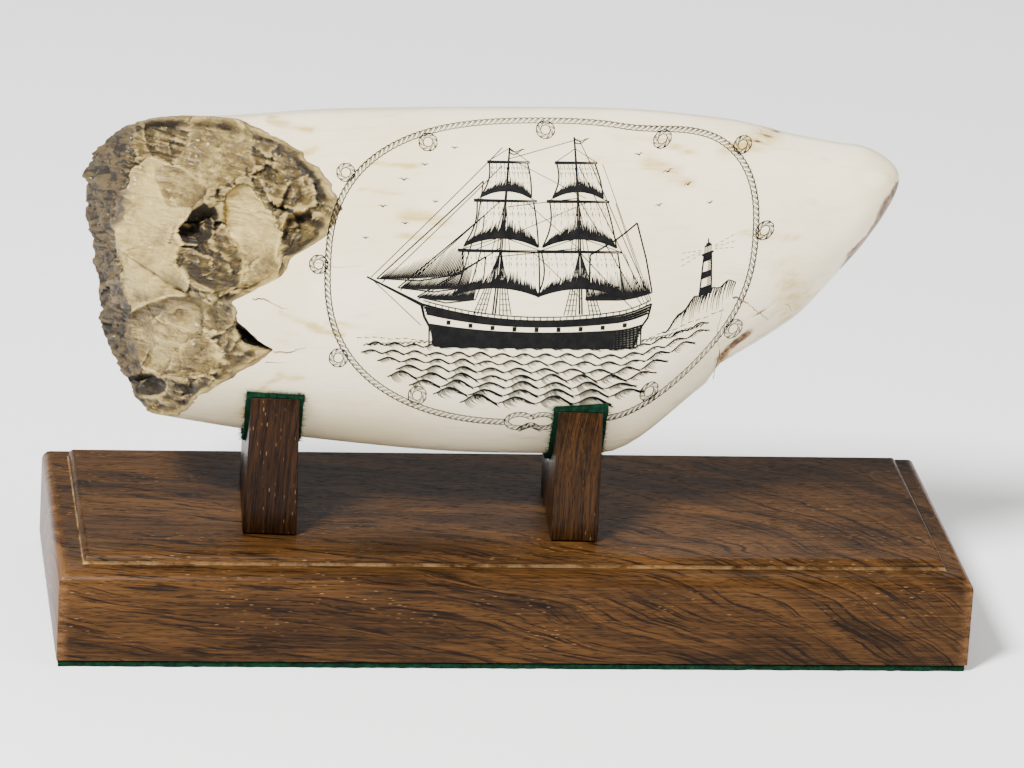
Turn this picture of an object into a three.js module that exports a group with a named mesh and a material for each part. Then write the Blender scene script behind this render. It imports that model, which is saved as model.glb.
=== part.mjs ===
// A whale tooth with a broken root, resting on two felt-lined cradles on a moulded wooden base.
// Sizes are in millimetres. X runs along the base, Y from its front to its back, Z up.
// The origin is the centre of the underside of the felt sheet under the base.
import * as THREE from 'three';

// Clearance kept between pieces that touch
const FIT_GAP = 0.3;

// Base board, with its felt sheet below it
const BASE_LENGTH = 203;
const BASE_DEPTH = 76;
const BASE_FELT_THICKNESS = 1.2;
const BASE_FELT_INSET = 0.4;
const BOARD_EDGE_HEIGHT = 17.75;
const BOARD_ROUND_RADIUS = 2.9;
const BOARD_FLAT_WIDTH = 2.7;
const BOARD_STEP_RISE = 2.25;
const BOARD_STEP_RUN = 1.3;
const BOARD_ARRIS = 0.35;
const BOARD_ROUND_STEPS = 6;

// Tooth, in a frame of its own that is turned a little on the base
const STAND_TURN = -3.4;
const TOOTH_LENGTH = 179.5;
const TOOTH_HEIGHT = 80.7;
const TOOTH_THICKNESS = 50;
const TOOTH_OVER_BASE = 13.2;
const TOOTH_MIDDLE_X = -5.9;

// Top and bottom lines and thickness, as [share of length from the root, share of size]
const TOP_LINE = [
  [0, 0.951], [0.12, 0.93], [0.3, 0.966], [0.5, 0.99], [0.65, 1],
  [0.78, 0.983], [0.88, 0.94], [0.95, 0.922], [1, 0.922],
];
const BOTTOM_LINE = [
  [0, 0.128], [0.12, 0.077], [0.3, 0.027], [0.5, 0], [0.65, 0.007],
  [0.78, 0.229], [0.88, 0.421], [0.95, 0.613], [1, 0.739],
];
const THICKNESS_LINE = [
  [0, 1], [0.3, 1], [0.6, 0.87], [0.8, 0.66], [0.92, 0.45], [1, 0.33],
];
const NOSE_SHARE = 0.06;

// Edge of the break at the root, as [degrees round the tooth, share of length].
// Degrees run from the back over the top (90) to the front (180) and the underside (270).
const BREAK_EDGE = [
  [0, 0], [20, 0], [32, 0.012], [50, 0.048], [76, 0.122], [90, 0.18],
  [110, 0.225], [127, 0.281], [144, 0.307], [153, 0.292], [161, 0.251],
  [168, 0.237], [177.5, 0.178], [184, 0.184], [194.5, 0.232], [211, 0.171],
  [225, 0.139], [245, 0.112], [262, 0.085], [287, 0.064], [298, 0.047],
  [314, 0.028], [340, 0.016], [360, 0],
];

// Heart of the broken face, as shares of length, height and half thickness
const BREAK_HEART = { along: 0.045, up: 0.53, back: 0.1 };
const BREAK_LIP_DEPTH = 2.2;
const BREAK_LIP_SHARE = 0.12;

// Shell-shaped flake scars in the broken face: middle as shares of length and height,
// reach as a share of height, depth as a share of thickness
const FLAKE_SCARS = [
  { along: 0.095, up: 0.83, reach: 0.24, depth: 0.09 },
  { along: 0.145, up: 0.95, reach: 0.2, depth: 0.07 },
  { along: 0.2, up: 0.66, reach: 0.17, depth: 0.11 },
  { along: 0.255, up: 0.82, reach: 0.15, depth: 0.06 },
  { along: 0.15, up: 0.55, reach: 0.14, depth: 0.1 },
  { along: 0.12, up: 0.35, reach: 0.26, depth: 0.14 },
  { along: 0.195, up: 0.42, reach: 0.1, depth: 0.12 },
  { along: 0.085, up: 0.16, reach: 0.09, depth: 0.14 },
];

// Chip out of the lower edge, between two shares of length
const CHIP = { from: 0.778, to: 0.885, entry: 0.012, depth: 3.4, spread: 40 };

// Mesh density
const TOOTH_SIDES = 80;
const BREAK_RINGS = 12;
const NEAR_RINGS = 8;
const FAR_RINGS = 18;
const NEAR_END = 0.33;

// Cradles: place along the tooth, widths at foot and top, front face and its lean, height
const LEFT_CRADLE_X = -52.95;
const LEFT_CRADLE_FOOT_WIDTH = 12;
const LEFT_CRADLE_TOP_WIDTH = 10.6;
const LEFT_CRADLE_FRONT = -23.5;
const LEFT_CRADLE_LEAN = 0.8;
const LEFT_CRADLE_HEIGHT = 31.6;
const RIGHT_CRADLE_X = 14.72;
const RIGHT_CRADLE_FOOT_WIDTH = 10.5;
const RIGHT_CRADLE_TOP_WIDTH = 9.8;
const RIGHT_CRADLE_FRONT = -22.1;
const RIGHT_CRADLE_LEAN = 2.2;
const RIGHT_CRADLE_HEIGHT = 29.6;
const CRADLE_FOOT_DEPTH = 33;
const CRADLE_BACK_SWEEP = 1.25;
const CRADLE_LIP = 3.2;
const CRADLE_BULGE = 0.5;
const CRADLES = [
  {
    name: 'cradle_left',
    x: LEFT_CRADLE_X,
    foot: LEFT_CRADLE_FOOT_WIDTH,
    top: LEFT_CRADLE_TOP_WIDTH,
    front: LEFT_CRADLE_FRONT,
    lean: LEFT_CRADLE_LEAN,
    height: LEFT_CRADLE_HEIGHT,
  },
  {
    name: 'cradle_right',
    x: RIGHT_CRADLE_X,
    foot: RIGHT_CRADLE_FOOT_WIDTH,
    top: RIGHT_CRADLE_TOP_WIDTH,
    front: RIGHT_CRADLE_FRONT,
    lean: RIGHT_CRADLE_LEAN,
    height: RIGHT_CRADLE_HEIGHT,
  },
];
const CRADLE_FELT_THICKNESS = 0.9;
const CRADLE_FELT_OVERHANG = 1;
const CRADLE_FELT_RISE = 1.1;
const SEAT_STEPS = 20;
const FACE_STEPS = 7;
const LIP_STEPS = 4;

// Heights that follow from the sizes above
const BOARD_BOTTOM = BASE_FELT_THICKNESS + FIT_GAP;
const BOARD_TOP = BOARD_BOTTOM + BOARD_EDGE_HEIGHT + BOARD_ROUND_RADIUS + BOARD_STEP_RISE;
const TOOTH_BOTTOM = BOARD_TOP + TOOTH_OVER_BASE;
const CRADLE_BOTTOM = BOARD_TOP + FIT_GAP;
const SEAT_CLEARANCE = FIT_GAP + CRADLE_FELT_THICKNESS + FIT_GAP;

const ROSEWOOD = { color: 0x6e442a, roughness: 0.42, metalness: 0 };
const IVORY = { color: 0xe6dcc4, roughness: 0.35, metalness: 0 };
const GREEN_FELT = { color: 0x1d4a32, roughness: 0.95, metalness: 0 };

const radians = THREE.MathUtils.degToRad;
const lerp = THREE.MathUtils.lerp;
const clamp = THREE.MathUtils.clamp;
const smoothstep = THREE.MathUtils.smoothstep;

// Smooth line through [place, value] knots, which never overshoots them
function smoothLine(knots, place) {
  const rises = knots.slice(1).map((knot, i) => (knot[1] - knots[i][1]) / (knot[0] - knots[i][0]));
  const slopeAt = (i) => {
    if (i === 0) return rises[0];
    if (i === knots.length - 1) return rises[i - 1];
    const [before, after] = [rises[i - 1], rises[i]];
    return before * after <= 0 ? 0 : (2 * before * after) / (before + after);
  };
  const inside = clamp(place, knots[0][0], knots[knots.length - 1][0]);
  let i = 0;
  while (i < knots.length - 2 && inside > knots[i + 1][0]) i += 1;
  const width = knots[i + 1][0] - knots[i][0];
  const t = (inside - knots[i][0]) / width;
  const bendLow = slopeAt(i) * width * t * (1 - t) ** 2;
  const bendHigh = slopeAt(i + 1) * width * t * t * (t - 1);
  const rise = knots[i][1] * (1 + 2 * t) * (1 - t) ** 2 + knots[i + 1][1] * t * t * (3 - 2 * t);
  return rise + bendLow + bendHigh;
}

// Straight-sided line through the same kind of knots
function brokenLine(knots, place) {
  let i = 0;
  while (i < knots.length - 2 && place > knots[i + 1][0]) i += 1;
  const t = (place - knots[i][0]) / (knots[i + 1][0] - knots[i][0]);
  return lerp(knots[i][1], knots[i + 1][1], t);
}

// Closed mesh from indexed corner points
function solidFrom(points, triangles) {
  const geometry = new THREE.BufferGeometry();
  geometry.setAttribute('position', new THREE.Float32BufferAttribute(points.flat(), 3));
  geometry.setIndex(triangles.flat());
  geometry.computeVertexNormals();
  return geometry;
}

// Two triangles between neighbouring points of ring a and ring b, which turn anticlockwise
// seen from ring b's side
function bandBetween(a, b, count) {
  const faces = [];
  for (let i = 0; i < count; i += 1) {
    const next = (i + 1) % count;
    faces.push([a + i, a + next, b + next], [a + i, b + next, b + i]);
  }
  return faces;
}

function namedMesh(name, geometry, finish) {
  const mesh = new THREE.Mesh(geometry, new THREE.MeshStandardMaterial(finish));
  mesh.name = name;
  return mesh;
}

// Section of the sound tooth at a share of its length
function toothSection(share) {
  const top = TOOTH_HEIGHT * smoothLine(TOP_LINE, share);
  const bottom = TOOTH_HEIGHT * smoothLine(BOTTOM_LINE, share);
  const pastNose = clamp((share - (1 - NOSE_SHARE)) / NOSE_SHARE, 0, 1);
  const closing = Math.sqrt(1 - pastNose * pastNose);
  return {
    x: TOOTH_MIDDLE_X + TOOTH_LENGTH * (share - 0.5),
    centre: TOOTH_BOTTOM + (top + bottom) / 2,
    halfHeight: (closing * (top - bottom)) / 2,
    halfThickness: (closing * TOOTH_THICKNESS * smoothLine(THICKNESS_LINE, share)) / 2,
  };
}

function shareAt(x) {
  return (x - TOOTH_MIDDLE_X) / TOOTH_LENGTH + 0.5;
}

// How far the chip in the lower edge bites upwards
function chipBite(share, degrees) {
  const entry = clamp((share - CHIP.from) / CHIP.entry, 0, 1);
  const exit = clamp((CHIP.to - share) / (CHIP.to - CHIP.from - CHIP.entry), 0, 1);
  const across = clamp(1 - ((degrees - 270) / CHIP.spread) ** 2, 0, 1);
  return CHIP.depth * Math.min(entry, exit) * across;
}

function toothPoint(share, degrees) {
  const section = toothSection(share);
  const y = section.halfThickness * Math.cos(radians(degrees));
  const z = section.centre + section.halfHeight * Math.sin(radians(degrees));
  return [section.x, y, z + chipBite(share, degrees)];
}

// Depth of the flake scars under the plain broken face, measured towards the back
function scarDepth(x, z) {
  let depth = 0;
  for (const scar of FLAKE_SCARS) {
    const dx = x - toothSection(scar.along).x;
    const dz = z - (TOOTH_BOTTOM + TOOTH_HEIGHT * scar.up);
    const away = Math.hypot(dx, dz) / (TOOTH_HEIGHT * scar.reach);
    depth = Math.max(depth, TOOTH_THICKNESS * scar.depth * (1 - away * away));
  }
  return depth;
}

// Point of the broken face, on the way from its heart (0) to its edge (1)
function breakPoint(way, degrees) {
  const edge = toothPoint(brokenLine(BREAK_EDGE, degrees), degrees);
  const heart = toothSection(BREAK_HEART.along);
  const x = lerp(heart.x, edge[0], way);
  const z = lerp(TOOTH_BOTTOM + TOOTH_HEIGHT * BREAK_HEART.up, edge[2], way);
  const y = lerp(heart.halfThickness * BREAK_HEART.back, edge[1], way);
  const inside = 1 - smoothstep(way, 1 - BREAK_LIP_SHARE, 1);
  return [x, y + (BREAK_LIP_DEPTH + scarDepth(x, z)) * inside, z];
}

function toothGeometry() {
  const points = [breakPoint(0, 0)];
  const rings = [];
  const addRing = (pointAt) => {
    rings.push(points.length);
    for (let side = 0; side < TOOTH_SIDES; side += 1) {
      points.push(pointAt((360 * side) / TOOTH_SIDES));
    }
  };
  for (let ring = 1; ring <= BREAK_RINGS; ring += 1) {
    addRing((degrees) => breakPoint((ring / BREAK_RINGS) ** 0.8, degrees));
  }
  for (let ring = 1; ring <= NEAR_RINGS; ring += 1) {
    const way = ring / NEAR_RINGS;
    addRing((degrees) => toothPoint(lerp(brokenLine(BREAK_EDGE, degrees), NEAR_END, way), degrees));
  }
  for (let ring = 1; ring < FAR_RINGS; ring += 1) {
    const way = Math.sin((Math.PI / 2) * (ring / FAR_RINGS));
    addRing((degrees) => toothPoint(lerp(NEAR_END, 1, way), degrees));
  }
  const tip = points.length;
  points.push(toothPoint(1, 0));
  const triangles = [];
  const [first, last] = [rings[0], rings[rings.length - 1]];
  for (let side = 0; side < TOOTH_SIDES; side += 1) {
    const next = (side + 1) % TOOTH_SIDES;
    triangles.push([0, first + next, first + side], [tip, last + side, last + next]);
  }
  rings.slice(1).forEach((ring, i) => triangles.push(...bandBetween(rings[i], ring, TOOTH_SIDES)));
  return solidFrom(points, triangles);
}

// Board: one rectangle ring for each [inset, height] of its edge moulding
function boardGeometry() {
  const roundTop = BOARD_BOTTOM + BOARD_EDGE_HEIGHT + BOARD_ROUND_RADIUS;
  const profile = [[0, BOARD_BOTTOM]];
  for (let step = 0; step <= BOARD_ROUND_STEPS; step += 1) {
    const turn = (Math.PI / 2) * (step / BOARD_ROUND_STEPS);
    profile.push([
      BOARD_ROUND_RADIUS * (1 - Math.cos(turn)),
      roundTop - BOARD_ROUND_RADIUS * (1 - Math.sin(turn)),
    ]);
  }
  const stepFoot = BOARD_ROUND_RADIUS + BOARD_FLAT_WIDTH;
  profile.push([stepFoot, roundTop]);
  profile.push([stepFoot + BOARD_STEP_RUN - BOARD_ARRIS, BOARD_TOP - BOARD_ARRIS]);
  profile.push([stepFoot + BOARD_STEP_RUN + BOARD_ARRIS, BOARD_TOP]);
  const points = [];
  for (const [inset, z] of profile) {
    const [x, y] = [BASE_LENGTH / 2 - inset, BASE_DEPTH / 2 - inset];
    points.push([-x, -y, z], [x, -y, z], [x, y, z], [-x, y, z]);
  }
  const triangles = [[0, 2, 1], [0, 3, 2]];
  for (let ring = 1; ring < profile.length; ring += 1) {
    triangles.push(...bandBetween(4 * (ring - 1), 4 * ring, 4));
  }
  const lid = 4 * (profile.length - 1);
  triangles.push([lid, lid + 1, lid + 2], [lid, lid + 2, lid + 3]);
  return solidFrom(points, triangles);
}

function baseFeltGeometry() {
  const sheet = new THREE.BoxGeometry(
    BASE_LENGTH - 2 * BASE_FELT_INSET,
    BASE_DEPTH - 2 * BASE_FELT_INSET,
    BASE_FELT_THICKNESS,
  );
  return sheet.translate(0, 0, BASE_FELT_THICKNESS / 2);
}

// Reach of the tooth's underside from a middle point, plus a clearance, at an angle
// of 0 straight down, negative towards the front
function seatReach(x, middle, angle, clearance) {
  const section = toothSection(shareAt(x));
  const wide = section.halfThickness + clearance;
  const high = section.halfHeight + clearance;
  const drop = middle - section.centre;
  const across = (Math.sin(angle) / wide) ** 2 + (Math.cos(angle) / high) ** 2;
  const half = -(drop * Math.cos(angle)) / high ** 2;
  const rest = (drop / high) ** 2 - 1;
  return (-half + Math.sqrt(half * half - across * rest)) / across;
}

// The cradle's seat clears the tooth over the whole width of the cradle
function seatPoint(cradle, angle) {
  const middle = toothSection(shareAt(cradle.x)).centre;
  const stations = [-0.5, 0, 0.5].map((side) => cradle.x + side * cradle.foot);
  const reach = Math.max(...stations.map((x) => seatReach(x, middle, angle, SEAT_CLEARANCE)));
  return [reach * Math.sin(angle), middle - reach * Math.cos(angle)];
}

// Angle at which the seat reaches a height above the cradle's foot
function seatAngle(cradle, height, side) {
  let [low, high] = [0, Math.PI / 2];
  for (let step = 0; step < 40; step += 1) {
    const angle = (low + high) / 2;
    if (seatPoint(cradle, side * angle)[1] < CRADLE_BOTTOM + height) low = angle;
    else high = angle;
  }
  return side * low;
}

// Outline of a cradle seen from its side, from the front foot up and over to the back foot
function cradleOutline(cradle) {
  const outline = [];
  const lipFront = seatPoint(cradle, seatAngle(cradle, cradle.height, -1))[0];
  const lipBack = seatPoint(cradle, seatAngle(cradle, cradle.height, 1))[0];
  const frontTop = Math.min(cradle.front + cradle.lean, lipFront - 2 * FIT_GAP);
  const backTop = lipBack + CRADLE_LIP;
  const backFoot = cradle.front + CRADLE_FOOT_DEPTH;
  const lip = (lipFront - frontTop) / 2;
  const backLip = CRADLE_LIP / 2;
  for (let step = 0; step <= FACE_STEPS; step += 1) {
    const t = step / FACE_STEPS;
    const bulge = CRADLE_BULGE * Math.sin(Math.PI * t);
    const y = lerp(cradle.front, frontTop, t * t) - bulge;
    outline.push([y, CRADLE_BOTTOM + t * (cradle.height - lip)]);
  }
  for (let step = 1; step < LIP_STEPS; step += 1) {
    const turn = Math.PI * (1 - step / LIP_STEPS);
    const z = CRADLE_BOTTOM + cradle.height - lip * (1 - Math.sin(turn));
    outline.push([frontTop + lip * (1 + Math.cos(turn)), z]);
  }
  const from = seatAngle(cradle, cradle.height - lip, -1);
  const to = seatAngle(cradle, cradle.height - backLip, 1);
  for (let step = 0; step <= SEAT_STEPS; step += 1) {
    outline.push(seatPoint(cradle, lerp(from, to, step / SEAT_STEPS)));
  }
  for (let step = 1; step < LIP_STEPS; step += 1) {
    const turn = Math.PI * (1 - step / LIP_STEPS);
    const z = CRADLE_BOTTOM + cradle.height - backLip * (1 - Math.sin(turn));
    outline.push([backTop - backLip * (1 - Math.cos(turn)), z]);
  }
  for (let step = FACE_STEPS; step >= 0; step -= 1) {
    const t = step / FACE_STEPS;
    const z = CRADLE_BOTTOM + t * (cradle.height - backLip);
    outline.push([lerp(backFoot, backTop, t ** CRADLE_BACK_SWEEP), z]);
  }
  return outline;
}

function cradleGeometry(cradle) {
  const outline = cradleOutline(cradle).reverse();
  const halfWidth = (z) => {
    const t = (z - CRADLE_BOTTOM) / cradle.height;
    return lerp(cradle.foot, cradle.top, t) / 2;
  };
  const count = outline.length;
  const left = outline.map(([y, z]) => [cradle.x - halfWidth(z), y, z]);
  const right = outline.map(([y, z]) => [cradle.x + halfWidth(z), y, z]);
  const flat = outline.map(([y, z]) => new THREE.Vector2(y, z));
  const triangles = bandBetween(0, count, count);
  for (const [a, b, c] of THREE.ShapeUtils.triangulateShape(flat, [])) {
    triangles.push([a, c, b], [count + a, count + b, count + c]);
  }
  return solidFrom([...left, ...right], triangles);
}

// Felt lining: a strip between the tooth and the seat, a little wider and taller than the wood
function cradleFeltGeometry(cradle) {
  const middle = toothSection(shareAt(cradle.x)).centre;
  const from = seatAngle(cradle, cradle.height + CRADLE_FELT_RISE, -1);
  const to = seatAngle(cradle, cradle.height + CRADLE_FELT_RISE, 1);
  const halfWidth = cradle.top / 2 + CRADLE_FELT_OVERHANG;
  const across = 2 * (SEAT_STEPS + 1);
  const points = [];
  for (const x of [cradle.x - halfWidth, cradle.x, cradle.x + halfWidth]) {
    for (let step = 0; step <= SEAT_STEPS; step += 1) {
      const angle = lerp(from, to, step / SEAT_STEPS);
      const reach = seatReach(x, middle, angle, FIT_GAP);
      points.push([x, reach * Math.sin(angle), middle - reach * Math.cos(angle)]);
    }
    for (let step = SEAT_STEPS; step >= 0; step -= 1) {
      const angle = lerp(from, to, step / SEAT_STEPS);
      const [y, z] = seatPoint(cradle, angle);
      points.push([x, y - FIT_GAP * Math.sin(angle), z + FIT_GAP * Math.cos(angle)]);
    }
  }
  const triangles = [];
  for (let strip = 0; strip < 2; strip += 1) {
    for (const [a, b, c] of bandBetween(strip * across, (strip + 1) * across, across)) {
      triangles.push([a, c, b]);
    }
  }
  const far = 2 * across;
  for (let step = 0; step < SEAT_STEPS; step += 1) {
    const [a, b, c, d] = [step, step + 1, across - 2 - step, across - 1 - step];
    triangles.push([a, b, c], [a, c, d], [far + a, far + c, far + b], [far + a, far + d, far + c]);
  }
  return solidFrom(points, triangles);
}

const turnedOnBase = new THREE.Group();
turnedOnBase.rotation.z = radians(STAND_TURN);
turnedOnBase.add(namedMesh('tooth', toothGeometry(), IVORY));
for (const cradle of CRADLES) {
  turnedOnBase.add(namedMesh(cradle.name, cradleGeometry(cradle), ROSEWOOD));
  turnedOnBase.add(namedMesh(`${cradle.name}_felt`, cradleFeltGeometry(cradle), GREEN_FELT));
}

const wholeTooth = new THREE.Group();
wholeTooth.add(namedMesh('base_board', boardGeometry(), ROSEWOOD));
wholeTooth.add(namedMesh('base_felt', baseFeltGeometry(), GREEN_FELT));
wholeTooth.add(turnedOnBase);

export default wholeTooth;
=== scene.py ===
"""Looks of the engraved whale tooth on its stand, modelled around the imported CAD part."""

import itertools
import math

import bpy
import numpy as np
from mathutils import Matrix, Vector


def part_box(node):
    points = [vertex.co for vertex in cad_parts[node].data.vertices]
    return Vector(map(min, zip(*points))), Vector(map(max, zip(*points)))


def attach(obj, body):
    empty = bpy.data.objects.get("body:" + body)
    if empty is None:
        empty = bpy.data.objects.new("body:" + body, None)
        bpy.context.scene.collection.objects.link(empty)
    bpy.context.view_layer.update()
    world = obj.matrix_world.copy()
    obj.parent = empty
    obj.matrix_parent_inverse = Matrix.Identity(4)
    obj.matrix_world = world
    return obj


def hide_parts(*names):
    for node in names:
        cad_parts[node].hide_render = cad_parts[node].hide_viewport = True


bl_info = {
    "name": "Engraved Whale Tooth",
    "version": (1, 0, 0),
    "blender": (4, 5, 0),
    "location": "3D View > Sidebar > Whale Tooth",
    "description": "Models an engraved whale tooth with a broken root on its wooden stand",
    "category": "Add Mesh",
}

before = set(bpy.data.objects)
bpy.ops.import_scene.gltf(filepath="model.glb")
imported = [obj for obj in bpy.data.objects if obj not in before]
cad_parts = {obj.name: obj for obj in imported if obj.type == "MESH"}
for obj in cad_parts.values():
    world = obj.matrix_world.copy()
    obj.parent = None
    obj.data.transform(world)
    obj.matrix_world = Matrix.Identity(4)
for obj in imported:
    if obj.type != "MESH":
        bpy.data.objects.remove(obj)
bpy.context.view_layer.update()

# Lengths below are in millimetres, and are turned into metres where a mesh is made
MM = 0.001

# Tooth, in a frame that is turned a little on the base
STAND_TURN = math.radians(-3.4)
TOOTH_LENGTH = 179.5
TOOTH_HEIGHT = 80.7
TOOTH_THICKNESS = 50.0
TOOTH_OVER_BASE = 13.2
TOOTH_MIDDLE_X = -5.9
TOP_LINE = [
    (0, 0.951), (0.12, 0.93), (0.3, 0.966), (0.5, 0.99), (0.65, 1),
    (0.78, 0.983), (0.88, 0.94), (0.95, 0.922), (1, 0.922),
]
BOTTOM_LINE = [
    (0, 0.128), (0.12, 0.077), (0.3, 0.027), (0.5, 0), (0.65, 0.007),
    (0.78, 0.229), (0.88, 0.421), (0.95, 0.613), (1, 0.739),
]
THICKNESS_LINE = [(0, 1), (0.3, 1), (0.6, 0.87), (0.8, 0.66), (0.92, 0.45), (1, 0.33)]
NOSE_SHARE = 0.06

# Edge of the break, as (degrees round the tooth, share of length)
BREAK_EDGE = [
    (0, 0), (20, 0), (32, 0.012), (50, 0.048), (76, 0.122), (90, 0.18),
    (110, 0.225), (127, 0.281), (144, 0.307), (153, 0.292), (161, 0.251),
    (168, 0.237), (177.5, 0.178), (184, 0.184), (194.5, 0.232), (211, 0.171),
    (225, 0.139), (245, 0.112), (262, 0.085), (287, 0.064), (298, 0.047),
    (314, 0.028), (340, 0.016), (360, 0),
]
BREAK_HEART = (0.045, 0.53, 0.1)
CHIP = {"start": 0.778, "end": 0.885, "entry": 0.012, "depth": 3.4, "spread": 40}
NEAR_END = 0.33

# Tooth mesh: sides round it, rings in the broken face and along the sound surface
TOOTH_SIDES = 480
BREAK_RINGS = 112
NEAR_RINGS = 26
FAR_RINGS = 54

# Relief of the break: sizes in millimetres of what is pressed into it
FLAKE_WARP = 2.2
GRAIN_SLOPE = math.radians(-14)
GRAIN_SIZE, GRAIN_STRETCH = 1.6, 9
GROWTH_LAYER = 2.1
FACET_SIZES = ((7.5, 71, 0.42), (3.0, 77, 0.5))
LUMP_SIZE, LUMP_HEIGHT = 5.2, 3.6
PIT_SIZE, PIT_DEPTH = 2.1, 3.4
CRUST_ROUGHNESS = 2.2
# Degrees round the tooth between which the crust lies, behind the broken face
CRUST_FROM, CRUST_TO = (62, 40), (255, 285)
# Slight unevenness of the sound surface
SWELL_SIZE, SWELL_HEIGHT = 22, 0.12

# Stand
FIT_GAP = 0.3
BASE_HALF = (101.5, 38.0)
BASE_FELT_THICKNESS = 1.2
BASE_FELT_INSET = 0.4
BOARD_BOTTOM = BASE_FELT_THICKNESS + FIT_GAP
BOARD_EDGE_HEIGHT = 17.75
BOARD_ROUND_RADIUS = 2.9
BOARD_FLAT_WIDTH = 2.7
BOARD_STEP_RISE = 2.25
BOARD_STEP_RUN = 1.3
BOARD_ARRIS = 0.35
BOARD_ROUND_TOP = BOARD_BOTTOM + BOARD_EDGE_HEIGHT + BOARD_ROUND_RADIUS
BOARD_TOP = BOARD_ROUND_TOP + BOARD_STEP_RISE
CRADLE_BOTTOM = BOARD_TOP + FIT_GAP
CRADLE_FOOT_DEPTH = 33.0
CRADLE_BACK_SWEEP = 1.25
CRADLE_LIP = 3.2
CRADLE_BULGE = 0.5
CRADLE_FELT_THICKNESS = 0.9
CRADLE_FELT_OVERHANG = 1.0
CRADLE_FELT_RISE = 1.1
CRADLE_FELT_FRONT_DROP = 1.3
SEAT_CLEARANCE = 2 * FIT_GAP + CRADLE_FELT_THICKNESS
CRADLES = (
    {"name": "cradle_left", "x": -52.95, "foot": 12.0, "top": 10.6, "front": -23.5, "lean": 0.8,
     "height": 31.6},
    {"name": "cradle_right", "x": 14.72, "foot": 10.5, "top": 9.8, "front": -22.1, "lean": 2.2,
     "height": 29.6},
)

# Camera, solved from the photograph's frame of 1024 by 768
CAMERA_PLACE = (-183.55, -1309.03, 544.42)
CAMERA_TURN = (8.01, 20.39, 3.47)
VIEW_RIGHT = np.array((0.991368, -0.118200, 0.056752))
VIEW_UP = np.array((-0.011505, 0.352740, 0.935653))
VIEW_AHEAD = np.array((0.130613, 0.928227, -0.348335))
PICTURE_DISTANCE = 1412.0
SENSOR_WIDTH = 36
CLIP_END = 20

# Lights: name, place in metres, size and share of the main light's power
LIGHTS = (
    ("main_light", (-0.62, -0.72, 1.1), 0.32, 1),
    ("side_light", (0.95, -0.5, 0.7), 0.9, 0.16),
    ("back_light", (0.1, 0.9, 0.9), 0.9, 0.06),
)
LIGHT_AIM = (0, 0, 0.06)
ROOM_COLOUR = (1, 0.99, 0.97, 1)
ROOM_LIGHT = 0.4

# Grain of the wood: growth layers per metre across, up and along, how far they sway and
# drift, and how much they bow on one side
BOARD_GRAIN = (62, 92, 13, 1.6, 0.6, 300)
CRADLE_GRAIN = (150, 220, 10, 1.0, 0.5, 0)
# How strongly painted shade darkens the left and the right cradle
CRADLE_PAINTED_SHADE = (1.0, 0.45)


def smooth_line(knots, places):
    """Smooth line through (place, value) knots, which never overshoots them."""
    x, y = np.array(knots, float).T
    rises = np.diff(y) / np.diff(x)
    slopes = np.empty(len(x))
    slopes[0], slopes[-1] = rises[0], rises[-1]
    before, after = rises[:-1], rises[1:]
    total = np.where(before + after == 0, 1, before + after)
    slopes[1:-1] = np.where(before * after <= 0, 0, 2 * before * after / total)
    p = np.clip(places, x[0], x[-1])
    i = np.clip(np.searchsorted(x, p, side="right") - 1, 0, len(x) - 2)
    width = x[i + 1] - x[i]
    t = (p - x[i]) / width
    rise = y[i] * (1 + 2 * t) * (1 - t) ** 2 + y[i + 1] * t * t * (3 - 2 * t)
    return rise + slopes[i] * width * t * (1 - t) ** 2 + slopes[i + 1] * width * t * t * (t - 1)


def broken_line(knots, places):
    """Straight-sided line through (place, value) knots."""
    x, y = np.array(knots, float).T
    return np.interp(places, x, y)


def smoothstep(low, high, value):
    t = np.clip((value - low) / (high - low), 0, 1)
    return t * t * (3 - 2 * t)


def mix(a, b, t):
    return a + (b - a) * t


def pick(piece):
    """Makes a piece the only selected and the active one."""
    bpy.ops.object.select_all(action="DESELECT")
    piece.select_set(True)
    bpy.context.view_layer.objects.active = piece


def face_outwards(piece):
    pick(piece)
    bpy.ops.object.mode_set(mode="EDIT")
    bpy.ops.mesh.select_all(action="SELECT")
    bpy.ops.mesh.normals_make_consistent(inside=False)
    bpy.ops.object.mode_set(mode="OBJECT")


def mesh_piece(name, points, faces):
    """An object from points in millimetres, with its faces turned outwards."""
    mesh = bpy.data.meshes.new(name)
    mesh.from_pydata(np.asarray(points) * MM, [], faces)
    piece = bpy.data.objects.new(name, mesh)
    bpy.context.scene.collection.objects.link(piece)
    face_outwards(piece)
    return piece


def band(start, count):
    """Faces between a closed loop of points and the next one."""
    return [(start + i, start + (i + 1) % count,
             start + count + (i + 1) % count, start + count + i) for i in range(count)]


def soften_edges(piece, width, segments, angle):
    """Rounds every edge that is sharper than the angle."""
    bevel = piece.modifiers.new("edges", "BEVEL")
    bevel.width = width * MM
    bevel.segments = segments
    bevel.limit_method = "ANGLE"
    bevel.angle_limit = math.radians(angle)
    bpy.context.view_layer.objects.active = piece
    bpy.ops.object.modifier_apply(modifier="edges")


# Seeded noise on arrays of points

def scramble(cells, seed):
    """A repeatable number from 0 to 1 for each whole-number cell."""
    mixed = np.full(cells.shape[:-1], seed * 374761393 + 668265263, np.uint64)
    for axis, prime in enumerate((2654435761, 2246822519, 3266489917)):
        part = cells[..., axis].astype(np.int64).astype(np.uint64) * np.uint64(prime)
        mixed = (mixed ^ part) * np.uint64(1099511628211)
        mixed ^= mixed >> np.uint64(29)
    return ((mixed >> np.uint64(11)) & np.uint64(0xFFFFFF)).astype(float) / 0xFFFFFF


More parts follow.
